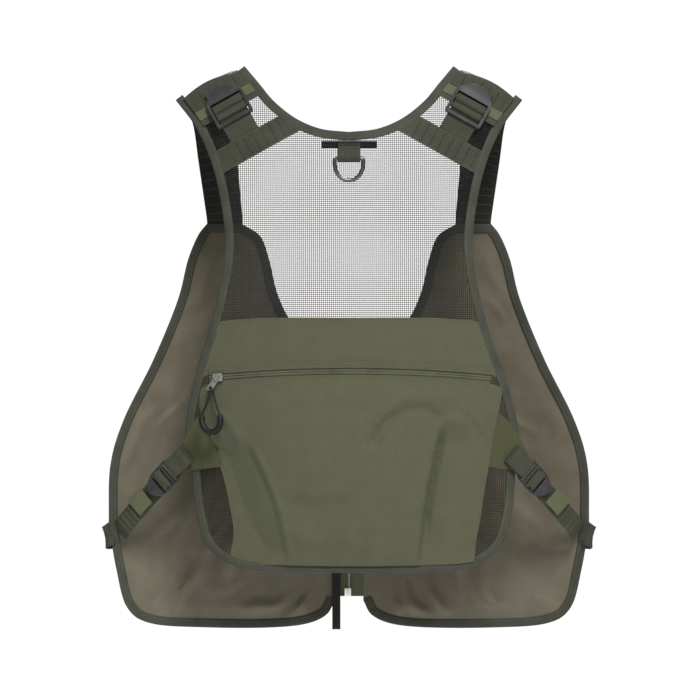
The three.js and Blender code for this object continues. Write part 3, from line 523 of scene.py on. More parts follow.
# Soft PVC over the cord: near-black and satin.
GRIP = Finish("soft_moulded_grip", "#0b0b0b", "#080808", Weave.MOULDED, 0.55, pitch=0.5, relief=0.02)

# A white painted floor, which only carries the light.
FLOOR_PAINT = Finish(
    "white_studio_floor", "#fbfbfa", "#f6f6f5", Weave.MOULDED, 0.8, pitch=20, relief=0.01, mottle=400
)


# ---- meshes --------------------------------------------------------------------------------------


def solid(
    name: str,
    verts: np.ndarray,
    faces: Sequence[Sequence[int]],
    finish: Finish,
    uv: np.ndarray | None = None,
    outwards: bool = True,
) -> bpy.types.Object:
    """Makes an object from points in millimetres.

    Args:
        name: its name.
        verts: its points.
        faces: corner numbers of each face.
        finish: what it is made of.
        uv: a place in the cloth's own plane for each point, in millimetres.
        outwards: whether the faces are turned to point out of the closed form.

    Returns:
        The object.
    """
    mesh = bpy.data.meshes.new(name)
    mesh.from_pydata((np.asarray(verts) * MM).tolist(), [], [list(map(int, f)) for f in faces])
    if uv is not None:
        corners = np.empty(len(mesh.loops), np.int32)
        mesh.loops.foreach_get("vertex_index", corners)
        layer = mesh.uv_layers.new(name="cloth")
        layer.data.foreach_set("uv", (uv[corners] * MM).astype(np.float32).ravel())
    if outwards:
        work = bmesh.new()
        work.from_mesh(mesh)
        bmesh.ops.recalc_face_normals(work, faces=work.faces)
        work.to_mesh(mesh)
        work.free()
    mesh.polygons.foreach_set("use_smooth", [True] * len(mesh.polygons))
    mesh.materials.append(finish.material())
    made = bpy.data.objects.new(name, mesh)
    bpy.context.scene.collection.objects.link(made)
    return made


def sharpened(piece: bpy.types.Object, degrees: float = 40) -> bpy.types.Object:
    """Keeps the edges of a piece crisp where its faces meet at a steeper angle than this."""
    piece.data.set_sharp_from_angle(angle=math.radians(degrees))
    return piece


def lofted(
    name: str, rings: np.ndarray, finish: Finish, along: np.ndarray, around: np.ndarray,
    closed: bool = False
) -> bpy.types.Object:
    """A skin over rings of points.

    Args:
        name: the object's name.
        rings: points, ring by ring.
        finish: what it is made of.
        along: how far along the piece each ring lies, for the pattern.
        around: how far round a ring each point lies, for the pattern.
        closed: whether the last ring meets the first.

    Returns:
        The object.
    """
    count, sides = rings.shape[:2]
    faces = []
    for i in range(count if closed else count - 1):
        a, b = i * sides, ((i + 1) % count) * sides
        for k in range(sides):
            n = (k + 1) % sides
            faces.append((a + k, a + n, b + n, b + k))
    if not closed:
        faces.append(tuple(range(sides))[::-1])
        faces.append(tuple(range((count - 1) * sides, count * sides)))
    uv = np.stack(np.broadcast_arrays(along[:, None], around[None, :]), -1).reshape(-1, 2)
    return sharpened(solid(name, rings.reshape(-1, 3), faces, finish, uv), 50)


def travel(points: np.ndarray) -> np.ndarray:
    """How far along a line each of its points lies."""
    return np.concatenate([[0], np.cumsum(np.linalg.norm(np.diff(points, axis=0), axis=1))])


def flat_section(width: float, thick: float) -> np.ndarray:
    """The rounded section of a flat tape, as places across and out."""
    w, t, r = width / 2, thick / 2, thick * 0.4
    top = [
        (-w + r, t), (-w * 0.5, t), (0, t), (w * 0.5, t), (w - r, t), (w - r * 0.3, t - r * 0.3), (w, t - r)
    ]
    return np.array(top + [(-a, -b) for a, b in top])


def ribbon(
    name: str, path: np.ndarray, across: np.ndarray, width: float, thick: float, finish: Finish
) -> bpy.types.Object:
    """A flat strap along a path in space.

    Args:
        name: the object's name.
        path: the middle of the strap.
        across: the strap's sideways direction, one for all or one at each point.
        width: the strap's width.
        thick: its thickness.
        finish: what it is made of.

    Returns:
        The object.
    """
    way = np.gradient(path, axis=0)
    way /= np.linalg.norm(way, axis=1)[:, None]
    side = np.broadcast_to(across, path.shape)
    side = side - (side * way).sum(1)[:, None] * way
    side /= np.linalg.norm(side, axis=1)[:, None]
    out = np.cross(way, side)
    section = flat_section(width, thick)
    rings = path[:, None] + side[:, None] * section[None, :, :1] + out[:, None] * section[None, :, 1:]
    return lofted(name, rings, finish, travel(path), section[:, 0])


def tube(
    name: str, path: np.ndarray, radius: float | np.ndarray, finish: Finish, sides: int = 10,
    closed: bool = False
) -> bpy.types.Object:
    """A round bar or cord along a path in space, whose radius may change along it."""
    way = np.roll(path, -1, 0) - np.roll(path, 1, 0) if closed else np.gradient(path, axis=0)
    way /= np.linalg.norm(way, axis=1)[:, None]
    first = np.cross(way[0], (0.31, 0.42, 0.85))
    sidewards = [first / np.linalg.norm(first)]
    for w in way[1:]:
        s = sidewards[-1] - (sidewards[-1] @ w) * w
        sidewards.append(s / np.linalg.norm(s))
    side = np.array(sidewards)
    other = np.cross(way, side)
    turn = np.linspace(0, 2 * math.pi, sides, endpoint=False)
    size = np.broadcast_to(radius, len(path))[:, None, None]
    rings = path[:, None] + size * (
        side[:, None] * np.cos(turn)[None, :, None] + other[:, None] * np.sin(turn)[None, :, None]
    )
    return lofted(name, rings, finish, travel(path), turn * np.max(radius), closed)


def band(
    name: str, line: np.ndarray, section: np.ndarray, place: Callable[[float], Place], finish: Finish,
    closed: bool = False,
) -> bpy.types.Object:
    """A tape that follows a seam line on the garment.

    Args:
        name: the object's name.
        line: the seam line.
        section: the tape's section, as distances to the line's left and out of the garment.
        place: the garment's surface at a distance out.
        finish: what it is made of.
        closed: whether the line is a ring.

    Returns:
        The object.
    """
    columns = []
    for left, out in section:
        row = moved(line, left, closed)
        columns.append(place(out)(row[:, 0], row[:, 1]))
    rings = np.stack(columns, 1)
    return lofted(name, rings, finish, travel(line), section[:, 0], closed)


def stepped(outline: np.ndarray, most: float) -> np.ndarray:
    """A closed outline with points added on its long sides."""
    parts = []
    for a, b in zip(outline, np.roll(outline, -1, 0)):
        count = max(1, int(math.ceil(np.linalg.norm(b - a) / most)))
        parts.append(a + (b - a) * np.arange(count)[:, None] / count)
    return np.vstack(parts)


def filled(
    outline: np.ndarray, cell: float, holes: Sequence[np.ndarray] = ()
) -> tuple[np.ndarray, np.ndarray, np.ndarray]:
    """Triangles over the inside of an outline.

    Args:
        outline: the closed outline.
        cell: the size of the triangles.
        holes: closed outlines of what is left open.

    Returns:
        The points, the triangles and the edges along the outline.
    """
    outline = stepped(outline, cell)
    low, high = outline.min(0), outline.max(0)
    rows = np.arange(low[1] + cell * 0.43, high[1], cell * 0.87)
    grid = np.array([
        (x, z) for i, z in enumerate(rows)
        for x in np.arange(low[0] + cell * (0.3 + 0.5 * (i % 2)), high[0], cell)
    ])
    ring = np.vstack([outline, outline[:1]])
    keep = within(grid[:, 0], grid[:, 1], outline) & (gap_to(grid[:, 0], grid[:, 1], ring) > cell * 0.45)
    grid = grid[keep]
    n = len(outline)
    edges = [(i, (i + 1) % n) for i in range(n)]
    rims = [outline]
    for hole in (stepped(h, cell) for h in holes):
        edge = np.vstack([hole, hole[:1]])
        grid = grid[
            ~within(grid[:, 0], grid[:, 1], hole) & (gap_to(grid[:, 0], grid[:, 1], edge) > cell * 0.45)
        ]
        first = sum(map(len, rims))
        edges += [(first + i, first + (i + 1) % len(hole)) for i in range(len(hole))]
        rims.append(hole)
    points = np.vstack([*rims, grid])
    made = delaunay_2d_cdt([Vector(p) for p in points], edges, [], 1, 1e-6)
    tris = np.array([f for f in made[2]])
    flat = np.array([tuple(p) for p in made[0]])
    for hole in holes:
        middle = flat[tris].mean(1)
        tris = tris[~within(middle[:, 0], middle[:, 1], hole)]
    used: dict[tuple[int, int], int] = {}
    for tri in tris:
        for a, b in zip(tri, np.roll(tri, -1)):
            used[(int(a), int(b))] = 1
    border = np.array([e for e in used if (e[1], e[0]) not in used])
    return flat, tris, border


def sheeted(
    name: str, outline: np.ndarray, near: Place, far: Place, finish: Finish, cell: float = 7,
    grain: tuple[float, float] = (1, 0),
) -> bpy.types.Object:
    """A closed piece of cloth between two surfaces.

    Args:
        name: the object's name.
        outline: its outline on the garment.
        near: the surface of its inner face.
        far: the surface of its outer face.
        finish: what it is made of.
        cell: the size of its triangles.
        grain: the direction on the garment that the cloth's length runs in.

    Returns:
        The object.
    """
    flat, tris, border = filled(outline, cell)
    n = len(flat)
    verts = np.vstack([near(flat[:, 0], flat[:, 1]), far(flat[:, 0], flat[:, 1])])
    faces = [tuple(t[::-1]) for t in tris] + [tuple(t + n) for t in tris]
    faces += [(a, b, b + n, a + n) for a, b in border]
    way = np.array(grain) / math.hypot(*grain)
    uv = np.column_stack([flat @ way, flat @ np.array([-way[1], way[0]])])
    return sharpened(solid(name, verts, faces, finish, np.vstack([uv, uv])), 50)


def area_of(outline: np.ndarray) -> float:
    """The area of a closed outline, in square metres."""
    x, z = outline[:, 0], outline[:, 1]
    return abs(float(x @ np.roll(z, -1) - z @ np.roll(x, -1))) / 2 * MM * MM


# ---- repeated pieces ------------------------------------------------------------------------------


@dataclass(frozen=True)
class Row:
    """A line of stitches or teeth in space, and which way is out of the cloth along it."""

    points: np.ndarray
    up: np.ndarray

    @staticmethod
    def on(line: np.ndarray, left: float, out: float, place: Callable[[float], Place]) -> "Row":
        """A row along a seam line of the garment, a distance to its left and out."""
        row = even(moved(line, left), 3.0)
        low, high = place(out)(row[:, 0], row[:, 1]), place(out + 1)(row[:, 0], row[:, 1])
        return Row(low, high - low)


def wire(name: str, rows: Sequence[Row]) -> bpy.types.Object:
    """The rows as one mesh of edges that keeps their outward directions."""
    verts = np.vstack([r.points for r in rows])
    edges, start = [], 0
    for r in rows:
        edges += [(start + i, start + i + 1) for i in range(len(r.points) - 1)]
        start += len(r.points)
    mesh = bpy.data.meshes.new(name)
    mesh.from_pydata((verts * MM).tolist(), edges, [])
    up = mesh.attributes.new("up", "FLOAT_VECTOR", "POINT")
    up.data.foreach_set("vector", np.vstack([r.up for r in rows]).astype(np.float32).ravel())
    made = bpy.data.objects.new(name, mesh)
    bpy.context.scene.collection.objects.link(made)
    return made


class Repeat(Enum):
    """The two Geometry Nodes trees of the vest."""

    BEADS = "beads_along_rows"
    THREADS = "threads_along_rows"

    def tree(self) -> bpy.types.NodeTree:
        """Builds the tree once, and gives it back after that."""
        known = bpy.data.node_groups.get(self.value)
        if known:
            return known
        tree = bpy.data.node_groups.new(self.value, "GeometryNodeTree")
        face = tree.interface
        face.new_socket("Geometry", in_out="INPUT", socket_type="NodeSocketGeometry")
        for name in ("Pitch", "Long", "Wide", "High"):
            face.new_socket(name, in_out="INPUT", socket_type="NodeSocketFloat")
        face.new_socket("Finish", in_out="INPUT", socket_type="NodeSocketMaterial")
        face.new_socket("Geometry", in_out="OUTPUT", socket_type="NodeSocketGeometry")
        given = node(tree, "NodeGroupInput").outputs
        curve = node(tree, "GeometryNodeMeshToCurve", {"Mesh": given["Geometry"]}).outputs["Curve"]
        made = self.beads(tree, given, curve) if self is Repeat.BEADS else self.threads(tree, given, curve)
        soft = node(tree, "GeometryNodeSetShadeSmooth", {"Geometry": made}).outputs["Geometry"]
        real = node(tree, "GeometryNodeRealizeInstances", {"Geometry": soft}).outputs["Geometry"]
        last = node(tree, "GeometryNodeSetMaterial", {"Geometry": real, "Material": given["Finish"]})
        node(tree, "NodeGroupOutput", {"Geometry": last.outputs["Geometry"]})
        return tree

    @staticmethod
    def beads(tree: bpy.types.NodeTree, given: Any, curve: Any) -> Any:
        """A small rounded bead at every pitch, turned to the row and to the cloth."""
        spaced = node(
            tree, "GeometryNodeResampleCurve", {"Curve": curve, "Length": given["Pitch"]}, mode="LENGTH"
        )
        tangent = node(tree, "GeometryNodeInputTangent").outputs["Tangent"]
        up = node(tree, "GeometryNodeInputNamedAttribute", {"Name": "up"}, data_type="FLOAT_VECTOR")
        turned = node(
            tree, "FunctionNodeAlignRotationToVector", {"Vector": tangent}, axis="X"
        ).outputs["Rotation"]
        set_up = node(
            tree, "FunctionNodeAlignRotationToVector",
            {"Rotation": turned, "Vector": up.outputs["Attribute"]}, axis="Z", pivot_axis="X",
        ).outputs["Rotation"]
        bead = node(tree, "GeometryNodeMeshUVSphere", {"Segments": 6, "Rings": 4, "Radius": 0.5})
        size = node(
            tree, "ShaderNodeCombineXYZ", {"X": given["Long"], "Y": given["Wide"], "Z": given["High"]}
        )
        return node(
            tree, "GeometryNodeInstanceOnPoints",
            {
                "Points": spaced.outputs["Curve"], "Instance": bead.outputs["Mesh"],
                "Rotation": set_up, "Scale": size.outputs["Vector"],
            },
        ).outputs["Instances"]

    @staticmethod
    def threads(tree: bpy.types.NodeTree, given: Any, curve: Any) -> Any:
        """A thin thread along every row."""
        half = node(tree, "ShaderNodeMath", {0: given["Wide"], 1: 0.5}, operation="MULTIPLY")
        profile = node(
            tree, "GeometryNodeCurvePrimitiveCircle", {"Resolution": 3, "Radius": half.outputs[0]}
        )
        return node(
            tree, "GeometryNodeCurveToMesh",
            {"Curve": curve, "Profile Curve": profile.outputs["Curve"], "Fill Caps": False},
        ).outputs["Mesh"]


@dataclass(frozen=True)
class Bead:
    """One thing repeated along a row: what it is made of, its spacing and its size in millimetres."""

    finish: Finish
    pitch: float = 1.0
    long: float = 1.0  # along the row
    wide: float = 1.0  # across the row, or a thread's thickness
    high: float = 1.0


# The rows of lockstitch along bindings, seams and hems.
LOCKSTITCH = Bead(OLIVE_THREAD, pitch=3.0, long=2.1, wide=0.75, high=0.7)
# The heavier stitch that quilts the shoulder straps.
QUILTING = Bead(OLIVE_THREAD, pitch=3.0, long=2.2, wide=0.9, high=0.7)
# The short stitch along the edges of the shoulder bands.
EDGE_STITCH = Bead(OLIVE_THREAD, pitch=2.2, long=1.6, wide=0.8, high=0.7)
# Bar tacks: dense zigzags over a webbing's end.
TAB_TACK = Bead(DARK_THREAD, pitch=1.6, long=1.9, wide=1.1, high=0.7)
BAND_TACK = Bead(DARK_THREAD, pitch=1.2, long=0.9, wide=1.8, high=0.8)
STRAP_TACK = Bead(OLIVE_THREAD, pitch=1.2, long=0.9, wide=2.0, high=0.8)
# Turns of the coil zips.
BACK_TURN = Bead(COIL, pitch=1.5, long=1.25, wide=3.1, high=1.3)
FRONT_TURN = Bead(COIL, pitch=1.5, long=1.15, wide=3.2, high=1.9)


def repeated(name: str, rows: Sequence[Row], bead: Bead, how: Repeat = Repeat.BEADS) -> bpy.types.Object:
    """Grows beads or threads along rows, and gives back the plain mesh.

    Args:
        name: the object's name.
        rows: where they go.
        bead: what is repeated.
        how: which of the trees makes them.

    Returns:
        The object.
    """
    source = wire(f"{name}_rows", rows)
    tree = how.tree()
    grow = source.modifiers.new("grow", "NODES")
    grow.node_group = tree
    sizes = {"Pitch": bead.pitch, "Long": bead.long, "Wide": bead.wide, "High": bead.high}
    for item in tree.interface.items_tree:
        if item.in_out == "INPUT" and item.name in sizes:
            grow[item.identifier] = sizes[item.name] * MM
        elif item.in_out == "INPUT" and item.name == "Finish":
            grow[item.identifier] = bead.finish.material()
    held = bpy.context.evaluated_depsgraph_get()
    mesh = bpy.data.meshes.new_from_object(source.evaluated_get(held), depsgraph=held)
    mesh.name = name
    made = bpy.data.objects.new(name, mesh)
    bpy.context.scene.collection.objects.link(made)
    source.modifiers.clear()
    bpy.data.objects.remove(source)
    return made


# ---- pieces on the frame ------------------------------------------------------------------------


FRAME: dict[str, Any] = {}


def settle(piece: bpy.types.Object, body: str, slot: str, *nodes: str) -> bpy.types.Object:
    """Puts a piece on its body, in place of the plain solids it stands for, and reports it."""
    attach(piece, body)
    if nodes:
        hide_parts(*nodes)
    LOG.info("%s rides on %s", piece.name, body)
    return piece


def rounded(piece: bpy.types.Object, radius: float, degrees: float) -> None:
    """Rounds the edges of a hard part where its faces meet at a steeper angle than this."""
    round_off = piece.modifiers.new("round_off", "BEVEL")
    round_off.width = radius * MM
    round_off.segments = 2
    round_off.limit_method = "ANGLE"
    round_off.angle_limit = math.radians(degrees)
    round_off.harden_normals = True


def refined(
    name: str, part: str, finish: Finish, body: str, slot: str, bevel: float = 0.4
) -> bpy.types.Object:
    """A hard part with its edges rounded as moulding or casting leaves them.

    Args:
        name: the new piece's name.
        part: the frame's solid that gives its shape.
        finish: what it is made of.
        body: the body it moves with.
        slot: the record's material slot; not used.
        bevel: the radius of its edges.

    Returns:
        The object.
    """
    work = bmesh.new()
    work.from_mesh(FRAME["nodes"][part].data)
    bmesh.ops.remove_doubles(work, verts=work.verts, dist=1e-6)
    bmesh.ops.dissolve_limit(work, angle_limit=math.radians(2), verts=work.verts, edges=work.edges)
    mesh = bpy.data.meshes.new(name)
    work.to_mesh(mesh)
    work.free()
    mesh.materials.clear()
    mesh.materials.append(finish.material())
    for uv in list(mesh.uv_layers):
        mesh.uv_layers.remove(uv)
    spots = np.array([(v.co.x, v.co.z) for v in mesh.vertices])
    corners = np.array([c.vertex_index for c in mesh.loops])
    mesh.uv_layers.new(name="UVMap").data.foreach_set("uv", spots[corners].astype(np.float32).ravel())
    mesh.polygons.foreach_set("use_smooth", [True] * len(mesh.polygons))
    made = bpy.data.objects.new(name, mesh)
    bpy.context.scene.collection.objects.link(made)
    rounded(made, bevel, 35)
    return settle(made, body, slot, part)


@dataclass(frozen=True)
class Seat:
    """A local frame on the vest: X across, Y up along the surface, Z out of it."""

    origin: np.ndarray
    x: np.ndarray
    y: np.ndarray
    z: np.ndarray

    @staticmethod
    def made(hand: Hand, origin: Sequence[float], y: Sequence[float], z: Sequence[float]) -> "Seat":
        """A seat given for the left side, turned to either side."""
        flip = np.array([1 if hand is Hand.LEFT else -1, 1, 1])
        o, up, out = (np.array(v, float) * flip for v in (origin, y, z))
        return Seat(o, np.cross(up, out), up, out)

    def world(self, along: np.ndarray) -> np.ndarray:
        """Points given along Y and out along Z, in the vest's frame."""
        along = np.asarray(along, float)
        return self.origin + along[:, :1] * self.y + along[:, 1:] * self.z

    def spot(self, x: float, y: float, z: float) -> np.ndarray:
        """One point of the seat, in the vest's frame."""
        return self.origin + x * self.x + y * self.y + z * self.z


@dataclass(frozen=True)
class LockSize:
    """A ladder lock: its outside, the half width of its windows and where its bars begin and end."""

    width: float
    length: float
    thick: float
    half: float
    edges: tuple[float, ...]

    def outline(self) -> np.ndarray:
        """A frame with rounded feet whose tongue end is a low dome."""
        w, l = self.width / 2, self.length / 2
        right = line_of(
            (w * 0.86, l), (w * 0.96, l - 1.2), (w, l - 4), (w, -l * 0.18), (w * 0.97, -l * 0.36),
            (w * 0.86, -l * 0.55),
            (w * 0.7, -l * 0.72), (w * 0.5, -l * 0.87), (w * 0.26, -l * 0.97),
        )
        return np.vstack([right, line_of((0, -l)), (right * np.array([-1, 1]))[::-1]])


# The lock of the 38 mm shoulder webbing, and that of the 25 mm side webbing.
SHOULDER_LOCK = LockSize(width=48, length=55, thick=4.2, half=19.8, edges=(23, 16, 11.5, 3.5, -1.5, -7.9))
SIDE_LOCK = LockSize(width=31, length=43, thick=3.6, half=13.3, edges=(18, 12, 8.5, 2.1, -1.9, -7.7))


def ladder_lock(name: str, part: str, seat: Seat, size: LockSize) -> bpy.types.Object:
    """A moulded ladder lock with its tongue raised at the free end.

    Args:
        name: the piece's name.
        part: the frame's solid that it stands for.
        seat: where it lies.
        size: its measures.

    Returns:
        The object.
    """
    h, e = size.half, size.edges
    holes = [
        line_of((-h, e[k]), (h, e[k]), (h, e[k + 1]), (-h, e[k + 1])) for k in (0, 2, 4)
    ]
    flat, tris, border = filled(size.outline(), 2.6, holes)
    tongue = np.clip((e[5] - flat[:, 1]) / 8, 0, 1)
    rim = np.clip((np.abs(flat[:, 0]) - h) / 3, 0, 1) * (1 - tongue)
    top = size.thick - 0.6 + 1.5 * tongue * np.cos(flat[:, 0] / size.width * 2.4) + 0.6 * rim
    n = len(flat)
    base = seat.origin + flat[:, :1] * seat.x + flat[:, 1:] * seat.y
    verts = np.vstack([base, base + top[:, None] * seat.z])
    faces = [tuple(t[::-1]) for t in tris] + [tuple(t + n) for t in tris]
    faces += [(a, b, b + n, a + n) for a, b in border]
    made = solid(name, verts, faces, ACETAL)
    sharpened(made, 180)
    rounded(made, 0.7, 50)
    return settle(made, "back", "black_plastic", part)


# ---- the pieces of the vest ------------------------------------------------------------------------

TAPE_SECTION = line_of(
    (0.1, 0.6), (0, 1.6), (-0.3, 2.6), (-1.2, 3.3), (-4, 3.5), (-8, 3.3), (-10.1, 2.9), (-10.5, 2.3),
    (-10.5, -0.9),
    (-10.1, -1.5), (-8, -1.8), (-4, -2), (-1.2, -1.8), (-0.3, -1.2),
)


@dataclass
class Setting:
    """The camera, the floor and the light."""

    distance: float = 7.0
    lens: float = 300
    aim: tuple[float, float, float] = (0.0012, -0.04, -0.2604)
    floor: float = -1.2
    sky_seen: float = 1.03
    sky_light: float = 0.6  # the sky lights the vest less than it shows, so that folds keep their shade

    def build(self) -> None:
        """Makes everything that isn't the vest."""
        scene = bpy.context.scene
        camera = bpy.data.cameras.new("camera")
        camera.lens = self.lens
        camera.sensor_width = 36
        camera.clip_end = 100
        held = bpy.data.objects.new("camera", camera)
        held.location = (self.aim[0], self.aim[1] - self.distance, self.aim[2])
        held.rotation_euler = (math.radians(90), 0, 0)
        scene.collection.objects.link(held)
        scene.camera = held
        self.lamp("key", (1.1, -3.9, 3.9), 1.8, 770)
        self.lamp("fill", (-3.0, -3.6, 0.6), 3.0, 20)
        self.lamp("back", (0.4, 3.6, 2.4), 3.0, 420)
        world = bpy.data.worlds.new("studio")
        world.use_nodes = True
        sky = world.node_tree.nodes["Background"]
        sky.inputs["Color"].default_value = (1, 1, 1, 1)
        seen = node(world.node_tree, "ShaderNodeLightPath").outputs["Is Camera Ray"]
        strength = node(
            world.node_tree, "ShaderNodeMapRange", {"Value": seen, 3: self.sky_light, 4: self.sky_seen}
        )
        world.node_tree.links.new(strength.outputs["Result"], sky.inputs["Strength"])
        scene.world = world
        scene.view_settings.view_transform = "Standard"
        half = 3200
        ground = line_of((-half, -half), (half, -half), (half, half), (-half, half))
        verts = np.column_stack([ground, np.full(4, self.floor / MM)])
        solid("floor", verts, [(0, 1, 2, 3)], FLOOR_PAINT, outwards=False)

    def lamp(self, name: str, place: tuple[float, float, float], size: float, power: float) -> None:
        """A large soft light that faces the vest."""
        light = bpy.data.lights.new(name, "AREA")
        light.size = size
        light.energy = power
        held = bpy.data.objects.new(name, light)
        held.location = place
        way = Vector(self.aim) - Vector(place)
        held.rotation_euler = way.to_track_quat("-Z", "Y").to_euler()
        bpy.context.scene.collection.objects.link(held)


@dataclass
class BackPull:
    """The cord loop and grip of the back pocket's slider."""

    eye: tuple[float, float, float] = (-165.7, -67.6, -306.2)
    wire: float = 1.2
    grip: float = 3.9
    course: tuple[tuple[float, float, float], ...] = (
        (0.4, -0.8, 3), (-1.6, -9, 6), (-5.5, -21, 9), (-9.4, -31, 11.5), (-9.4, -42, 14),
        (-3.4, -51, 15.5),
        (5.4, -51.6, 15.5), (11.6, -44, 14), (11.6, -33, 12), (8, -22, 9), (4.6, -10, 3.6),
        (2.4, -1.6, -2.6),
        (0.6, 0.4, -1.5),
    )

    def points(self) -> np.ndarray:
        """The cord's closed course."""
        ring = []
        ground = float(FORM.back_surface(np.array([self.eye[0]]), np.array([self.eye[2]]))[0])
        out0 = ground - self.eye[1]
        for dx, dz, out in self.course:
            x, z = self.eye[0] + dx, self.eye[2] + dz
            surface = float(FORM.back_surface(np.array([x]), np.array([z]))[0])
            ring.append((x, surface - out0 - out, z))
        looped = np.array(ring[-2:] + ring + ring[:2])
        line = smooth(looped, 0.8)
        first = int(np.argmin(np.linalg.norm(line[: len(line) // 3] - ring[0], axis=1)))
        rest = line[len(line) // 2 :]
        last = len(line) // 2 + int(np.argmin(np.linalg.norm(rest - ring[0], axis=1)))
        return line[first:last]

    def build(self) -> None:
        """Makes the cord first, then its grip."""
        path = self.points()
        cord = tube("back_pull_cord", path, self.wire, GRIP, 10)
        low = path[:, 2].argmin()
        span = int(27 / 0.8)
        held = path[low - span : low + span + 1]
        swell = self.grip * (0.8 + 0.2 * np.sin(np.linspace(0, math.pi, len(held))) ** 0.2)
        grip = tube("back_pull_grip", held, swell, GRIP, 14)
        turn = np.linspace(0, 2 * math.pi, 18, endpoint=False)
        near = (path[int(7 / 0.8)] + path[-int(9 / 0.8)]) / 2
        ring = near + np.column_stack([3.0 * np.cos(turn), 2.4 * np.sin(turn), 0.9 * np.cos(2 * turn)])
        knot = tube("back_pull_hitch", ring, 1.25, GRIP, 8, closed=True)
        settle(cord, "back_puller", "moulded_grip", "back_zip_pull")
        settle(grip, "back_puller", "moulded_grip")
        settle(knot, "back_puller", "moulded_grip")
        length = float(travel(path)[-1])
        step = max(1, len(path) // 30)
        line = [tuple(float(v) * MM for v in p) for p in path[::step]]
        line.append(tuple(float(v) * MM for v in path[-1]))


@dataclass
class BackPanel:
    """The open mesh, its binding and its stitching."""

    thread_pitch: float = 2.36
    thread: float = 0.76
    level: float = 0.5
    inset: float = 8.5
    slope: float = 29
    pad_tail: float = 40

    def below_crest(self, x: np.ndarray, z: np.ndarray) -> np.ndarray:
        """How far below the shoulder's crest points lie, down the slope of the shoulder."""
        turn = math.radians(self.slope)
        centre = (np.array(PATTERN.crest_neck) + np.array(PATTERN.crest_tip)) / 2
        return -((np.abs(x) - centre[0]) * math.sin(turn) + (z - centre[1]) * math.cos(turn))

    def threads(self) -> list[Row]:
        """Both sets of threads, cut off under the binding."""
        edge = PATTERN.back
        ring = np.vstack([edge, edge[:1]])
        rows: list[Row] = []
        for upright in (False, True):
            axis = 0 if upright else 1
            low, high = edge.min(0), edge.max(0)
            for at in np.arange(low[axis] + self.inset, high[axis] - self.inset, self.thread_pitch):
                run = np.arange(low[1 - axis], high[1 - axis], 2.0)
                x, z = (np.full(run.shape, at), run) if upright else (run, np.full(run.shape, at))
                good = within(x, z, edge)
                index = np.flatnonzero(good)
                if not len(index):
                    continue
                for part in np.split(index, np.flatnonzero(np.diff(index) > 1) + 1):
                    px, pz = x[part], z[part]
                    clear = (gap_to(px, pz, ring) > self.inset) & (self.below_crest(px, pz) > self.pad_tail)
                    px, pz = px[clear], pz[clear]
                    if len(px) < 3:
                        continue
                    count = max(2, int((len(px) * 2) / 10) + 1)
                    pick = np.linspace(0, len(px) - 1, count)
                    px = np.interp(pick, np.arange(len(px)), px)
                    pz = np.interp(pick, np.arange(len(pz)), pz)
                    rise = self.level + (0.25 if upright else 0)
                    points = FORM.back(rise)(px, pz)
                    rows.append(Row(points, np.tile((0.0, -1.0, 0.0), (len(points), 1))))
        return rows

    def build(self) -> None:
        """Makes the mesh, the binding tapes and their rows of stitches."""
        mesh = repeated(
            "back_mesh_weave", self.threads(), Bead(MESH_YARN, wide=self.thread), Repeat.THREADS
        )
        settle(mesh, "back", "mesh", "back_mesh")
        area_of(PATTERN.back)
        for name, line in (("neck_binding", PATTERN.neck), ("back_binding", PATTERN.round_back)):
            tape = band(f"{name}_tape", line, TAPE_SECTION, FORM.back, BINDING)
            settle(tape, "back", "binding", name)
            rows = [Row.on(line, -7.9, 3.35, FORM.back), Row.on(line, -7.9, -1.85, FORM.back)]
            stitches = repeated(f"{name}_stitches", rows, LOCKSTITCH)
            settle(stitches, "back", "binding")


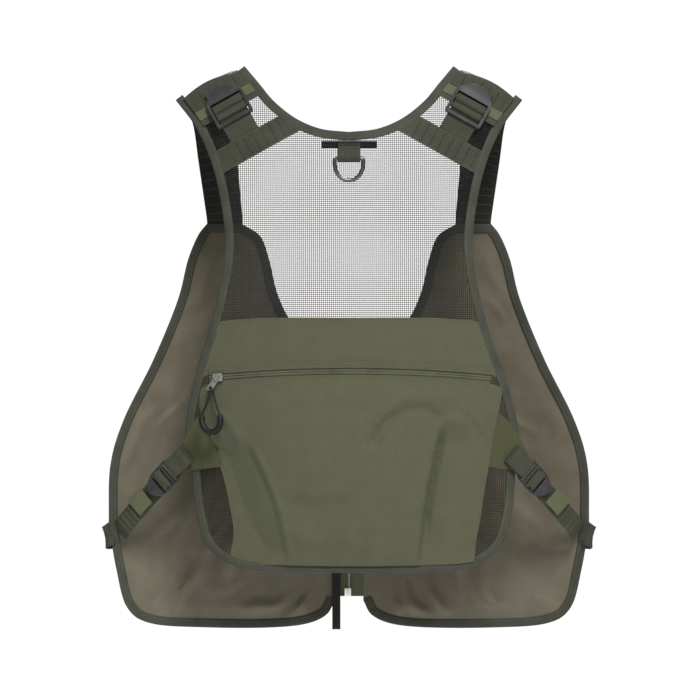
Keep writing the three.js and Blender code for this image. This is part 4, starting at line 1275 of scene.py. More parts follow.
@dataclass
class BackPocket:
    """The large pocket, the strip above it and the zip between them."""

    zip_z: float = -286
    zip_half: float = 168
    tilt: float = 15
    lift: float = 1.3
    fullness: float = 18
    cloth: float = 1.4
    left_edge: np.ndarray = field(default_factory=lambda: smooth(line_of(
        (-150, -513), (-144, -482), (-148, -450), (-155, -415), (-162, -390), (-172, -355), (-182, -328),
        (-178, -302),
    )))
    right_edge: np.ndarray = field(default_factory=lambda: smooth(line_of(
        (183, -306), (176, -336), (168, -368), (162, -400), (156, -430), (151, -462), (146, -490),
        (144, -513),
    )))
    creases: tuple[tuple[tuple[tuple[float, float], ...], float, float], ...] = (
        (((25, -370), (43, -346), (65, -334), (88, -331), (101, -340)), -5.2, 8),
        (((30, -344), (55, -318), (88, -307), (116, -317), (130, -344)), 3.2, 9),
        (((124, -330), (140, -345), (152, -362)), -3.6, 7),
        (((-170, -330), (-150, -345), (-138, -362)), 4.0, 8),
        (((-80, -440), (-50, -452), (-20, -444)), -2.6, 12),
        (((-70, -478), (-40, -490), (-10, -482)), 2.6, 11),
    )
    # Darts run down the pocket: where each runs, the side that stands out, and how far the cloth beyond it
    # sinks, beside the dart and at the pocket's edge.
    darts: tuple[tuple[tuple[tuple[float, float], ...], int, float, float], ...] = (
        (
            ((-127, -368), (-119, -383), (-109, -404), (-100, -428), (-91, -455), (-85, -482), (-79, -512)),
            1, 0.2, 1.3
        ),
        (((107, -350), (101, -374), (95, -398), (89, -422), (84, -452), (78, -510)), -1, 1.0, 0.45),
    )
    valley: float = 4.5
    roll: float = 11

    def drop(self, x: np.ndarray) -> np.ndarray:
        """How far the zip sinks below its middle at each place across."""
        wrap = FORM.back_radius - np.sqrt(FORM.back_radius**2 - x * x)
        return math.tan(math.radians(self.tilt)) * wrap

    @property
    def zip_line(self) -> np.ndarray:
        """The line that the chain runs along."""
        x = np.linspace(-self.zip_half, self.zip_half, 90)
        return np.column_stack([x, self.zip_z - self.drop(x)])

    def swell(self, x: np.ndarray, z: np.ndarray) -> np.ndarray:
        """How far the closed pocket's cloth stands out, with the folds it hangs in."""
        across = np.clip((x + 182) / 365, 0, 1)
        top = self.zip_z - self.drop(x) - 5
        down = np.clip((top - z) / (top + 522), 0, 1)
        full = np.sin(across * math.pi) ** 0.4 * np.sin(down * math.pi) ** 0.6
        folds = sum(
            deep * np.exp(-((gap_to(x, z, line_of(*line)) / wide) ** 2)) for line, deep, wide in self.creases
        )
        sunk = np.zeros(len(x))
        for dart, side, beside, beyond in self.darts:
            course = line_of(*dart)[::-1]
            s = side * (x - np.interp(z, course[:, 1], course[:, 0]))
            held = np.clip((course[-1, 1] + 6 - z) / 26, 0, 1)
            away = np.clip(-s / 42, 0, 1)
            step = self.roll * (1 / (1 + np.exp(-s / 1.3)) - 1) * (beside + (beyond - beside) * away)
            crest = 1.6 * np.exp(-(((s - 4) / 4) ** 2))
            sunk += held * (step + crest - beside * self.valley * np.exp(-(((s + 4) / 3.6) ** 2)))
        ends = np.clip(np.minimum(down, 1 - down) * 9, 0, 1)
        edge = np.clip(np.minimum(across, 1 - across) * 12, 0, 1) * ends
        ease = 1.1 * ripple(x / 70, z / 110, 0.7) + 0.5 * ripple(x / 28, z / 36, 2.1)
        out = self.lift + self.cloth + self.fullness * full + edge * (folds + ease + 1.2) + ends * sunk
        return np.maximum(out, self.lift + 1)

    def build(self) -> None:
        """Makes the pocket, the strip, the zip and their seams."""
        line = self.zip_line
        top = moved(line, -5.0)
        body_outline = np.vstack([self.left_edge[:-1], top[1:-1], self.right_edge, smooth(line_of(
            (144, -513), (120, -516), (60, -517.5), (0, -518), (-60, -517.5), (-120, -516), (-150, -513)
        ))[1:-1]])
        body = sheeted(
            "back_pocket_body", body_outline, FORM.back(self.lift),
            lambda x, z: FORM.back(self.swell(x, z))(x, z), SOFTSHELL, 3.0,
        )
        settle(body, "back", "softshell", "back_pocket")
        cloth_top = smooth(line_of((-240, -235), (-120, -223), (0, -222), (120, -223), (240, -235)))
        keep = (gap_to(cloth_top[:, 0], cloth_top[:, 1], np.vstack([PATTERN.round_back])) > 9) & within(
            cloth_top[:, 0], cloth_top[:, 1], PATTERN.back
        )
        cloth_top = cloth_top[keep]
        side = moved(PATTERN.round_back, -9.5)
        right = side[(side[:, 0] > 0) & (side[:, 1] < cloth_top[-1, 1]) & (side[:, 1] > self.zip_z - 9)]
        under = moved(line, 5.0)
        limit = right[-1, 0]
        under = under[np.abs(under[:, 0]) < limit - 1]
        left = mirrored(right)
        strip_outline = np.vstack([cloth_top, right, under[::-1], left])
        strip = sheeted("back_yoke_strip", strip_outline, FORM.back(1.2), FORM.back(3.0), SOFTSHELL, 6)
        settle(strip, "back", "softshell", "back_yoke_cloth")
        area_of(strip_outline)
        self.zip(line)
        self.seams(line, cloth_top)

    def zip(self, line: np.ndarray) -> None:
        """The tape, the coil and the cloth turned in beside it."""
        section = line_of((8.5, 1.1), (8.5, 1.9), (0, 2.0), (-8.5, 1.9), (-8.5, 1.1))
        tape = band("back_zip_tape", line, section, FORM.back, OLIVE_TAPE)
        settle(tape, "back", "coil_zip", "back_zip")
        rows = [Row.on(line, 1.5, 2.7, FORM.back), Row.on(line, -1.5, 2.7, FORM.back)]
        coil = repeated("back_zip_coil", rows, BACK_TURN)
        settle(coil, "back", "coil_zip")
        hem = line_of((4.2, 2.0), (3.7, 2.8), (4.3, 4.0), (7.5, 4.3), (11.5, 4.1), (12.2, 3.0))
        upper = band("back_zip_upper_fold", line, hem, FORM.back, SOFTSHELL)
        settle(upper, "back", "softshell")
        lower = band("back_zip_lower_fold", line, hem * np.array([-1, 1]), FORM.back, SOFTSHELL)
        settle(lower, "back", "softshell")

    def seams(self, line: np.ndarray, cloth_top: np.ndarray) -> None:
        """The rows of stitches along the zip, the strip and the pocket's sides."""
        rows = [
            Row.on(line, 9.3, 4.35, FORM.back),
            Row.on(cloth_top, -3.2, 3.15, FORM.back),
        ]
        for edge in (moved(self.left_edge, -3.4), moved(self.right_edge, -3.4), moved(line, -9.4)):
            flat = even(edge, 3.0)
            out = self.swell(flat[:, 0], flat[:, 1]) + 0.15
            low = FORM.back(out)(flat[:, 0], flat[:, 1])
            rows.append(Row(low, FORM.back(out + 1)(flat[:, 0], flat[:, 1]) - low))
        made = repeated("back_pocket_stitches", rows, LOCKSTITCH)
        settle(made, "back", "softshell")


@dataclass
class NeckRing:
    """The webbing tab below the neck, its ring and the loop behind it."""

    width: float = 27
    wire: float = 2.5
    ring_width: float = 39.5
    ring_height: float = 31
    bar: tuple[float, float] = (-90.465, -32.225)

    def build(self) -> None:
        """Makes the tab, the ring and the loop."""
        y, z = self.bar
        surface = float(FORM.back_surface(np.zeros(1), np.array([-11.0]))[0])
        fold = self.wire + 1.3
        turn = np.radians(np.linspace(-10, -170, 12))
        arc = np.column_stack([z + fold * np.sin(turn), y + fold * np.cos(turn)])
        back_run = line_of((-11, surface - 2.6), (-18, surface - 2.0), (-26, y + fold + 0.2))
        front_run = line_of((-27, y - fold - 0.1), (-18, surface - 6.2), (-11, surface - 5.8))
        path = smooth(np.vstack([back_run, arc, front_run]), 1.2)
        points = np.column_stack([np.zeros(len(path)), path[:, 1], path[:, 0]])
        tab = ribbon("neck_tab_webbing", points, np.array([1.0, 0, 0]), self.width, WEB_THICK, WEBBING)
        settle(tab, "back", "webbing", "neck_tab")
        half = self.ring_width / 2 - self.wire
        bow = self.ring_height - 2 * self.wire
        turns = np.linspace(0, math.pi, 33)
        curve = np.column_stack([half * np.cos(turns), -2 - (bow - 2) * np.sin(turns) ** 0.8])
        straight = line_of((-half + 3, 0), (0, 0), (half - 3, 0), (half - 0.7, -0.6))
        flat = np.vstack([straight, curve, line_of((-half + 0.7, -0.6))])
        closed = even(np.vstack([flat, flat[:1]]), 1.6)[:-1]
        ring = tube(
            "neck_ring_wire", np.column_stack([closed[:, 0], np.full(len(closed), y), z + closed[:, 1]]),
            self.wire, GUNMETAL, 14, closed=True,
        )
        settle(ring, "neck_ring", "gunmetal", "neck_ring")
        rows = []
        for dz in (-12.5, -15.5):
            x = np.linspace(-self.width / 2 + 2, self.width / 2 - 2, 12)
            low = np.column_stack([x, np.full(12, surface - 7.2), np.full(12, dz)])
            rows.append(Row(low, np.tile((0.0, -1.0, 0.1), (12, 1))))
        tacks = repeated("neck_tab_tacks", rows, TAB_TACK)
        settle(tacks, "back", "webbing")
        t = np.linspace(-1, 1, 25)
        x = 33 * t
        base = FORM.back_surface(x, np.full(25, -15.4))
        loop_y = base + 1.4 + 2 * (1 - t * t)
        path = np.column_stack([x, loop_y, np.full(25, -15.4)])
        loop = ribbon("hang_loop_tape", path, np.array([0, 0.1, 1.0]), 9, 1.2, DARK_WEBBING)
        settle(loop, "back", "webbing", "hang_loop")


@dataclass
class Shoulder:
    """One shoulder: its padded strap, the two webbing bands and the ladder lock between them."""

    hand: Hand
    slope: float = 29
    pad: float = 5
    lock_at: tuple[float, float, float] = (-145.495, -43.464, 34.104)
    lock_up: tuple[float, float, float] = (0.4074, -0.5422, -0.7349)
    lock_out: tuple[float, float, float] = (-0.2670, -0.8402, 0.4719)
    # Both edges of the strap where it leaves the back, neck side first.
    course: tuple[tuple[tuple[float, float, float], tuple[float, float, float]], ...] = (
        ((137, -3, 71), (194, -8, 42)), ((134, 18, 76), (196, 14, 43)), ((131, 42, 61), (194, 37, 30)),
        ((133, 58, 28), (188, 52, 7)), ((136, 65, -20), (183, 56, -30)),
    )
    head: tuple[float, float, float] = (187, 62, -66)
    foot: tuple[float, float, float] = (297, 2, -487)

    def yoke(self, across: float, down: float) -> np.ndarray:
        """A point of the right shoulder, across towards the neck and down from the crest."""
        neck, tip = np.array(PATTERN.crest_neck), np.array(PATTERN.crest_tip)
        turn = math.radians(self.slope)
        centre = (neck + tip) / 2
        return centre + across * np.array([-math.cos(turn), math.sin(turn)]) + down * np.array(
            [-math.sin(turn), -math.cos(turn)]
        )

    def reach(self, down: float, margin: float) -> tuple[float, float]:
        """How far across the cloth goes at a distance below the crest, inside both bindings."""
        ends = []
        for sign, line in ((-1, PATTERN.armhole), (1, PATTERN.neck)):
            steps = np.linspace(0, 110, 441) * sign
            spots = np.array([self.yoke(s, down) for s in steps])
            gap = gap_to(spots[:, 0], spots[:, 1], line)
            ok = within(spots[:, 0], spots[:, 1], PATTERN.back) & (gap > margin)
            ends.append(steps[np.flatnonzero(~ok[1:])[0]] if (~ok[1:]).any() else steps[-1])
        return ends[0], ends[1]

    def flip(self, points: np.ndarray) -> np.ndarray:
        """Points of the right side on this side."""
        return points * np.array([self.hand.value, 1, 1])

    def strap(self) -> None:
        """The padded strap over the shoulder, down to the front."""
        neck, arm = [], []
        for down in (43, 34, 24, 14, 5):
            low, high = self.reach(down, 9.5)
            for edge, across in ((neck, min(high, 62)), (arm, max(low, -62))):
                x, z = self.yoke(across, down)
                y = float(FORM.back_surface(np.array([x]), np.array([z]))[0])
                edge.append((x, y + 0.4, z))
        neck += [c[0] for c in self.course]
        arm += [c[1] for c in self.course]
        for edge, x in ((neck, 130), (arm, 173)):
            y = float(FORM.front_surface(np.array([float(x)]), np.array([float(PATTERN.front_top)]))[0])
            edge += [(x, y - 0.8, -98.0), (x, y - 0.6, -113.0)]
        inner, outer = smooth(np.array(neck), 3.0), smooth(np.array(arm), 3.0)
        count = 96
        inner, outer = (
            np.column_stack(
                [np.interp(np.linspace(0, 1, count), travel(e) / travel(e)[-1], e[:, k]) for k in range(3)]
            )
            for e in (inner, outer)
        )
        middle = (inner + outer) / 2
        out = np.cross(outer - inner, np.gradient(middle, axis=0))
        out /= np.linalg.norm(out, axis=1)[:, None]
        if out[0, 1] > 0:
            out = -out
        share = np.linspace(0, 1, 11)
        crown = self.pad * (0.45 + 0.55 * (1 - np.abs(2 * share - 1) ** 5))
        rings = []
        taper = 1 - 0.5 * np.clip((np.arange(count) - count + 12) / 8, 0, 1)
        for i in range(count):
            across = inner[i] + (outer[i] - inner[i]) * share[:, None]
            rings.append(
                np.vstack([across + out[i] * crown[:, None] * taper[i], across[::-1] + out[i] * 0.1])
            )
        wide = float(np.linalg.norm(outer - inner, axis=1).mean())
        around = np.concatenate([share, share[::-1]]) * wide
        pts = self.flip(np.array(rings).reshape(-1, 3)).reshape(count, -1, 3)
        pad = lofted(f"shoulder_strap_{self.hand.word}", pts, WEBBING, travel(middle), around)
        pad.data.materials.append(DARK_WEBBING.material())
        sides = pts.shape[1]
        for face in pad.data.polygons[: sides * (count - 1)]:
            ring, place = divmod(face.index, sides)
            face.material_index = int(place >= len(share) - 1 or ring > 62)
        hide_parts(f"shoulder_pad_{self.hand.word}", f"front_strap_{self.hand.word}")
        at = self.flip(np.array([self.head, self.foot]))
        way = (at[1] - at[0]) / np.linalg.norm(at[1] - at[0])
        start, end = at[0] - 26 * way, at[0] + 8 * way
        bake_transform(pad)
        LOG.info("%s runs from back to front", pad.name)
        self.quilting(inner, outer, out, start, end)

    def quilting(
        self, inner: np.ndarray, outer: np.ndarray, out: np.ndarray, start: np.ndarray, end: np.ndarray
    ) -> None:
        """The rows of stitches across the strap, on both of its faces.

        Args:
            inner: the strap's neck edge.
            outer: its arm edge.
            out: the direction away from the wearer at each point of the edges.
            start: where the strap begins to follow the front; not used.
            end: where it follows it fully; not used.
        """
        far = travel((inner + outer) / 2)
        rows = []
        for at in np.arange(far[-1] - 12, 104, -10.2):
            k = int(np.searchsorted(far, at))
            share = np.linspace(0.07, 0.93, 14)[:, None]
            across = inner[k] + (outer[k] - inner[k]) * share
            for height, up in ((-0.15, -out[k]), (self.pad + 0.05, out[k])):
                lift = height if height < 0 else height * (1 - 0.5 * float(np.clip((k - 84) / 8, 0, 1)))
                rows.append(
                    Row(self.flip(across + out[k] * lift), self.flip(np.tile(up, (len(across), 1))))
                )
        name = f"strap_quilting_{self.hand.word}"
        piece = repeated(name, rows, QUILTING)
        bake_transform(piece)

    def band_between(
        self, name: str, top: float, bottom: float, out: float, finish: Finish, bow: float = 0.0
    ) -> bpy.types.Object:
        """A strip across the shoulder between two distances below the crest.

        Args:
            name: the piece's name.
            top: how far its upper edge lies below the crest.
            bottom: how far its lower edge lies below the crest.
            out: how far out its inner face lies.
            finish: what it is made of.
            bow: how far the middle of its upper edge rises.

        Returns:
            The strip.
        """
        low, high = self.reach(top, 8.5)
        share = np.linspace(0, 1, 12)
        corners = [self.yoke(low + (high - low) * t, top - bow * math.sin(math.pi * t)) for t in share]
        low, high = self.reach(bottom, 8.5)
        corners += [self.yoke(low + (high - low) * t, bottom) for t in share[::-1]]
        outline = np.array(corners) * np.array([self.hand.value, 1])
        turn = math.radians(self.slope)
        grain = (-math.cos(turn) * self.hand.value, math.sin(turn))
        return sheeted(name, outline, FORM.back(out), FORM.back(out + 1.7), finish, 5, grain)

    def bands(self) -> None:
        """The crest band, the satin below it, and the band across the mesh."""
        word = self.hand.word
        crest = self.band_between(f"crest_band_{word}", 1.2, 23, self.pad + 0.5, WEBBING, bow=4.5)
        settle(crest, "back", "webbing", f"yoke_band_upper_{word}")
        satin = self.band_between(f"crest_satin_{word}", 23.5, 36, self.pad - 0.4, OLIVE_TAPE)
        settle(satin, "back", "webbing")
        satin = self.band_between(f"crest_piping_{word}", 36.5, 43.5, self.pad - 1.4, BINDING)
        settle(satin, "back", "binding")
        lower = self.band_between(f"mesh_band_{word}", 77, 105, 1.3, WEBBING)
        settle(lower, "back", "webbing", f"yoke_band_lower_{word}")
        rows = []
        for top, bottom, out in ((4.5, 21, self.pad + 2.3), (79, 103, 3.1)):
            low, high = self.reach((top + bottom) / 2, 12)
            for across in np.arange(low + 3, high, 11.2):
                ends = np.array([self.yoke(across, top), self.yoke(across, bottom)])
                ends = ends * np.array([self.hand.value, 1])
                rows.append(Row.on(even(ends, 2.0), 0, out, FORM.back))
        edges = []
        for down, out in ((21.5, self.pad + 2.3), (78.6, 3.1), (103.4, 3.1)):
            low, high = self.reach(down, 10)
            ends = np.array([self.yoke(low, down), self.yoke(high, down)]) * np.array([self.hand.value, 1])
            edges.append(Row.on(even(ends, 2.0), 0, out, FORM.back))
        seams = repeated(f"band_edge_stitches_{word}", edges, EDGE_STITCH)
        settle(seams, "back", "webbing")
        tacks = repeated(f"shoulder_tacks_{word}", rows, BAND_TACK)
        settle(tacks, "back", "webbing")

    def lock(self) -> None:
        """The ladder lock with the webbing that holds it and the webbing through it."""
        word = self.hand.word
        seat = Seat.made(self.hand, self.lock_at, self.lock_up, self.lock_out)
        ladder_lock(f"shoulder_ladder_lock_{word}", f"shoulder_lock_{word}", seat, SHOULDER_LOCK)
        e = (SHOULDER_LOCK.length / 2, *SHOULDER_LOCK.edges)
        under, over = -1.3, 5.5
        hold = line_of(
            (48, -15.0), (38, -10.6), (31, -6.2), (25, -3.0), (e[2] - 2, -2.0), (e[3] - 1.0, under - 0.6),
            (e[3] - 1.9, 1.4),
            (e[3] - 0.8, over - 0.4), (e[3] + 0.8, over + 0.3), (e[2] - 0.6, over + 0.3),
            (e[2] + 1.3, over - 0.8),
            (e[2] + 2.2, 1.6), (e[2] + 4.0, -0.6), (26, -1.4), (31, -3.9), (38, -8.0), (48, -12.4),
        )
        held = ribbon(
            f"lock_holder_{word}", seat.world(smooth(hold, 1.4)), seat.x, SHOULDER_WEB, WEB_THICK, WEBBING
        )
        settle(held, "back", "webbing", f"lock_webbing_{word}")
        thread = line_of(
            (-28, 1.6), (-16, 0.2), (e[6] + 0.6, under), ((e[5] + e[6]) / 2, 2.1), (e[5] - 0.5, over),
            (e[4] + 0.5, over),
            ((e[3] + e[4]) / 2, 2.1), (e[3] - 0.4, under), (e[3] + 4, under),
        )
        led = ribbon(
            f"lock_lead_{word}", seat.world(smooth(thread, 1.4)), seat.x, SHOULDER_WEB, WEB_THICK, WEBBING
        )
        settle(led, "back", "webbing", f"shoulder_webbing_{word}")

    def build(self) -> None:
        """Makes the whole shoulder."""
        self.strap()
        self.bands()
        self.lock()


@dataclass
class SideStrap:
    """One side: the wing on the back, the ladder lock and the strap to the front."""

    hand: Hand
    landing: float = -487  # the height at which the strap meets the front
    lock_at: tuple[float, float, float] = (-223.887, -38.139, -417.125)
    lock_up: tuple[float, float, float] = (0.6329, -0.3291, 0.7008)
    lock_out: tuple[float, float, float] = (-0.4614, -0.8872, 0.0)
    # How the sewn end goes round the front's edge: across, out of the front, and up from the landing.
    wrap: tuple[tuple[float, float, float], ...] = (
        (284, -3.2, 8), (290, -3.0, 3), (293.6, 0.8, 0), (290, 5.6, -1), (275, 5.6, 1), (258, 5.6, 5),
    )

    def build(self) -> None:
        """Makes the wing, the lock and the strap."""
        word, sign = self.hand.word, self.hand.value
        outline = handed(self.hand, line_of(
            (170, -346), (176, -334), (190, -347), (202, -368), (211, -386), (196, -405), (159, -400)
        ))
        wing = sheeted(f"wing_cloth_{word}", outline, FORM.back(3.6), FORM.back(5.6), DARK_SOFTSHELL, 5)
        settle(wing, "back", "softshell", f"wing_{word}")
        rows = [Row.on(even(outline[1:6], 3), -3.0, 5.7, FORM.back)]
        stitches = repeated(f"wing_stitches_{word}", rows, LOCKSTITCH)
        settle(stitches, "back", "softshell")
        seat = Seat.made(self.hand, self.lock_at, self.lock_up, self.lock_out)
        ladder_lock(f"side_ladder_lock_{word}", f"side_lock_{word}", seat, SIDE_LOCK)
        e = (SIDE_LOCK.length / 2, *SIDE_LOCK.edges)
        under, over, inner = -1.3, 4.9, e[1] - 1.3
        hold = line_of(
            (47, under + 0.6), (33, under), (e[0], under), (inner + 1.4, under), (inner, under + 1.4),
            (inner, over - 1.4),
            (inner + 1.4, over), (e[0], over), (33, 1.9), (46, 1.4),
        )
        held = ribbon(
            f"wing_strap_{word}", seat.world(smooth(hold, 1.4)), seat.x, SIDE_WEB, WEB_THICK, WEBBING
        )
        settle(held, "back", "webbing", f"wing_webbing_{word}")
        thread = line_of(
            (-90, -9.5), (-80, -5.4), (-68, -2.6), (-52, under - 0.5), (-30, under - 0.8),
            (-16, under - 0.2), (e[6] + 0.4, under),
            ((e[5] + e[6]) / 2, 1.8), (e[5] - 0.5, over), (e[4] + 0.5, over), ((e[3] + e[4]) / 2, 1.8),
            (e[3] - 0.4, under), (e[3] + 3, under),
        )
        run = smooth(seat.world(thread), 1.6)
        strap = ribbon(f"side_strap_webbing_{word}", run, seat.x, SIDE_WEB, WEB_THICK, WEBBING)
        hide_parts(f"side_strap_{word}")
        self.bend(strap, seat)
        tab_way = np.linspace(0, 1, 12)
        tab_at = np.array(
            [seat.spot(sign * 3, -28 - 23 * t, 0.9 + 0.5 * math.sin(math.pi * t)) for t in tab_way]
        )
        tab = ribbon(f"strap_end_fold_{word}", tab_at, seat.x, SIDE_WEB, 2.6, OLIVE_TAPE)
        settle(tab, "back", "webbing", f"strap_end_{word}")
        kinds = {
            "strap_tacks": ((38, 3.2), (41.5, 3.1), (-31, 2.6), (-48, 2.6)),
            "strap_end_tacks": ((-57, 0.4), (-64, -0.2), (-71, -1.6), (-78, -3.6)),
        }
        for kind, places in kinds.items():
            rows = []
            for y, out in places:
                points = np.array([seat.spot(x, y, out - 0.4) for x in np.linspace(-10.5, 10.5, 10)])
                rows.append(Row(points, np.tile(seat.z, (10, 1))))
            tacks = repeated(f"{kind}_{word}", rows, STRAP_TACK)
            if kind == "strap_tacks":
                settle(tacks, "back", "webbing")
            else:
                self.bend(tacks, seat)
        self.anchor()

    def bend(self, piece: bpy.types.Object, seat: Seat) -> None:
        """Bakes the piece's placement into its mesh; its end does not follow the front."""
        ends = (seat.spot(0, -50, 0) * MM, seat.spot(0, -84, -6) * MM)
        tuple(ends[0])
        tuple(ends[1])
        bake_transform(piece)

    def anchor(self) -> None:
        """The end of the strap, folded round the edge of the front and sewn to its outside."""
        word = self.hand.word
        course = []
        for x, out, rise in self.wrap:
            z = self.landing + rise
            y = float(FORM.front_surface(np.array([min(x, 291.0)]), np.array([float(z)]))[0]) + out
            course.append((x * self.hand.value, y, z))
        path = smooth(np.array(course), 1.5)
        piece = ribbon(
            f"strap_anchor_webbing_{word}", path, np.array([0.12 * self.hand.value, 0, 1.0]), SIDE_WEB + 1,
            WEB_THICK, WEBBING
        )
        settle(piece, f"front_{word}", "webbing", f"strap_anchor_{word}")


@dataclass
class Front:
    """One front: lining, shell, binding, half of the zip and two pockets."""

    hand: Hand
    lining_out: tuple[float, float] = (0, 1.0)
    shell_out: tuple[float, float] = (1.5, 2.6)

    def build(self) -> None:
        """Makes the whole front."""
        word = self.hand.word
        body = f"front_{word}"
        edge = handed(self.hand, PATTERN.front)
        sheets = (
            (f"front_lining_cloth_{word}", self.lining_out, LINING, "lining_satin", f"front_lining_{word}"),
            (f"front_shell_cloth_{word}", self.shell_out, SOFTSHELL, "softshell", f"front_shell_{word}"),
        )
        for name, (near, far), finish, slot, part in sheets:
            inner = FORM.front(near)
            if finish is LINING:
                inner = self.loose_lining
            piece = sheeted(name, edge, inner, FORM.front(far), finish, 4.2 if finish is LINING else 7)
            settle(piece, body, slot, part)
            area_of(edge)
        section = line_of(
            (0.1, 0.6), (0, -0.6), (-0.4, -1.4), (-1.4, -1.9), (-5, -2.0), (-9, -1.8), (-10.4, -1.3),
            (-10.5, -0.2),
            (-10.5, 2.9), (-10.1, 3.8), (-8, 4.1), (-4, 4.2), (-1.2, 4.0), (-0.3, 3.2), (0.05, 2),
        )
        tape = band(f"front_edge_tape_{word}", edge, section, FORM.front, BINDING)
        settle(tape, body, "binding", f"front_binding_{word}")
        rows = [Row.on(edge, -7.9, -2.0, self.reverse), Row.on(edge, -7.9, 4.15, FORM.front)]
        stitches = repeated(f"front_edge_stitches_{word}", rows, LOCKSTITCH)
        settle(stitches, body, "binding")
        self.zip(body)
        self.pockets(body)

    @staticmethod
    def loose_lining(x: np.ndarray, z: np.ndarray) -> np.ndarray:
        """Places points on the lining's inner face, folds and all."""
        edge = np.vstack([PATTERN.front, PATTERN.front[:1]])
        held = np.clip((gap_to(np.abs(x), z, edge) - 9) / 16, 0, 1)
        return FORM.front(-FORM.lining_folds(x, z) * held)(x, z)

    @staticmethod
    def reverse(out: float) -> Place:
        """Places points on the inner face, with out counted inwards past it."""
        return FORM.front(-2.0 - (out + 2.0))

    def zip(self, body: str) -> None:
        """Half of the front zip."""
        word, s = self.hand.word, self.hand.value
        top, foot, half = PATTERN.zip_top, PATTERN.zip_foot, PATTERN.tape_half
        sewn = half + 3  # the tape's edge lies between lining and shell
        outline = line_of((s * 0.1, foot), (s * sewn, foot), (s * sewn, top), (s * 0.1, top))
        tape = sheeted(
            f"front_zip_tape_{word}", outline, FORM.front(0.5), FORM.front(1.5), OLIVE_TAPE, 5, (0, 1)
        )
        settle(tape, body, "coil_zip", f"front_zip_{word}")
        line = even(line_of((s * 1.9, foot + 10), (s * 1.9, top)), 3)
        low = FORM.front(0.1)(line[:, 0], line[:, 1])
        rows = [Row(low, np.tile((0.0, -1.0, 0.0), (len(low), 1)))]
        coil = repeated(f"front_zip_coil_{word}", rows, FRONT_TURN)
        settle(coil, body, "coil_zip")

    def puffed(
        self, name: str, x0: float, x1: float, z0: float, z1: float, deep: float, corner: float
    ) -> bpy.types.Object:
        """A closed pocket that stands out from the shell, rounded at its corners.

        Args:
            name: the pocket's name.
            x0: its edge towards the zip.
            x1: its edge towards the arm.
            z0: its foot.
            z1: its top.
            deep: how far its middle stands out.
            corner: the radius of its corners.

        Returns:
            The pocket.
        """
        turn = np.linspace(0, math.pi / 2, 7)
        arcs = []
        right, left, top, foot = x1 - corner, x0 + corner, z1 - corner, z0 + corner
        for quarter, (cx, cz) in enumerate(((right, top), (left, top), (left, foot), (right, foot))):
            a = turn + quarter * math.pi / 2
            arcs.append(np.column_stack([cx + corner * np.cos(a), cz + corner * np.sin(a)]))
        ring = np.vstack(arcs)
        outline = even(np.vstack([ring, ring[:1]]), 4.5)[:-1] * np.array([self.hand.value, 1])

        def far(x: np.ndarray, z: np.ndarray) -> np.ndarray:
            a = np.clip((np.abs(x) - x0) / (x1 - x0), 0, 1)
            d = np.clip((z - z0) / (z1 - z0), 0, 1)
            full = np.sin(a * math.pi) ** 0.45 * np.sin(d * math.pi) ** 0.5
            return FORM.front(4.8 + (deep - 4) * full + full * 1.2 * ripple(x / 60, z / 60, 0.4))(x, z)

        return sheeted(name, outline, FORM.front(2.9), far, SOFTSHELL, 5)

    def pockets(self, body: str) -> None:
        """The lower pocket with its zip, and the chest pocket with its flap."""
        word, s = self.hand.word, self.hand.value
        cargo = self.puffed(f"lower_pocket_{word}", 56, 240, -566, -338, 22, 26)
        settle(cargo, body, "softshell", f"cargo_pocket_{word}")
        chest = self.puffed(f"chest_pouch_{word}", 104, 186, -300, -188, 7, 10)
        settle(chest, body, "softshell", f"chest_pocket_{word}")
        strip = line_of((56, -337.6), (240, -337.6), (240, -324), (56, -324)) * np.array([s, 1])
        tape = sheeted(f"lower_zip_tape_{word}", strip, FORM.front(2.9), FORM.front(4.0), OLIVE_TAPE, 6)
        settle(tape, body, "coil_zip", f"cargo_zip_{word}")
        line = even(line_of((62, -330.8), (234, -330.8)) * np.array([s, 1]), 3)
        rows = [Row.on(line, d, 4.3, FORM.front) for d in (1.5, -1.5)]
        coil = repeated(f"lower_zip_coil_{word}", rows, FRONT_TURN)
        settle(coil, body, "coil_zip")
        refined(
            f"chest_flap_cloth_{word}", f"chest_flap_{word}", SOFTSHELL, f"flap_{word}", "softshell", 0.5
        )


@dataclass
class Closures:
    """The sliders, the pullers, the pin and box of the front zip, and the loop beside it."""

    loop_x: float = -15.5

    def build(self) -> None:
        """Makes the small hard parts and the loop."""
        refined("back_slider_body", "back_zip_slider", NICKEL, "back_slider", "bright_nickel", 0.35)
        refined("back_puller_plate", "back_zip_puller", NICKEL, "back_puller", "bright_nickel", 0.25)
        refined("front_slider_body", "front_zip_slider", NICKEL, "front_slider", "bright_nickel", 0.35)
        refined("front_puller_plate", "front_zip_puller", NICKEL, "front_puller", "bright_nickel", 0.25)
        refined("front_box_moulding", "front_zip_box", WHITE_RESIN, "front_left", "white_plastic", 0.3)
        refined("front_pin_moulding", "front_zip_pin", WHITE_RESIN, "front_right", "white_plastic", 0.25)
        surface = float(FORM.front_surface(np.array([self.loop_x]), np.array([-560.0]))[0])
        course = line_of(
            (-526, -2.6), (-545, -3.0), (-570, -4.2), (-590, -4.6), (-599, -4.2), (-601, -3.2),
            (-599, -2.2), (-585, -2.1), (-566, -2.2)
        )
        path = smooth(course, 1.5)
        points = np.column_stack([np.full(len(path), self.loop_x), surface + path[:, 1], path[:, 0]])
        loop = ribbon("hem_loop_tape", points, np.array([1.0, 0, 0]), 10, 1.1, DARK_WEBBING)
        settle(loop, "front_left", "webbing", "hem_loop")


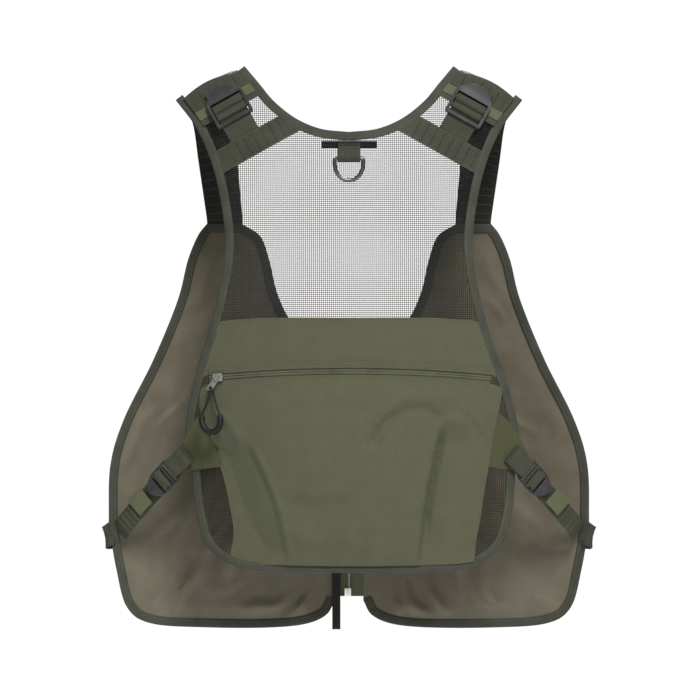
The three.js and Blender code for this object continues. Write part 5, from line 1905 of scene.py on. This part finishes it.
def main() -> None:
    """Builds the vest, sub-assembly by sub-assembly."""
    logging.basicConfig(level=logging.INFO, format="%(name)s: %(message)s")
    FRAME.update(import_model())
    Setting().build()
    BackPull().build()
    BackPanel().build()
    BackPocket().build()
    NeckRing().build()
    for hand in Hand:
        Shoulder(hand).build()
        SideStrap(hand).build()
        Front(hand).build()
    Closures().build()


if __name__ == "__main__":
    main()
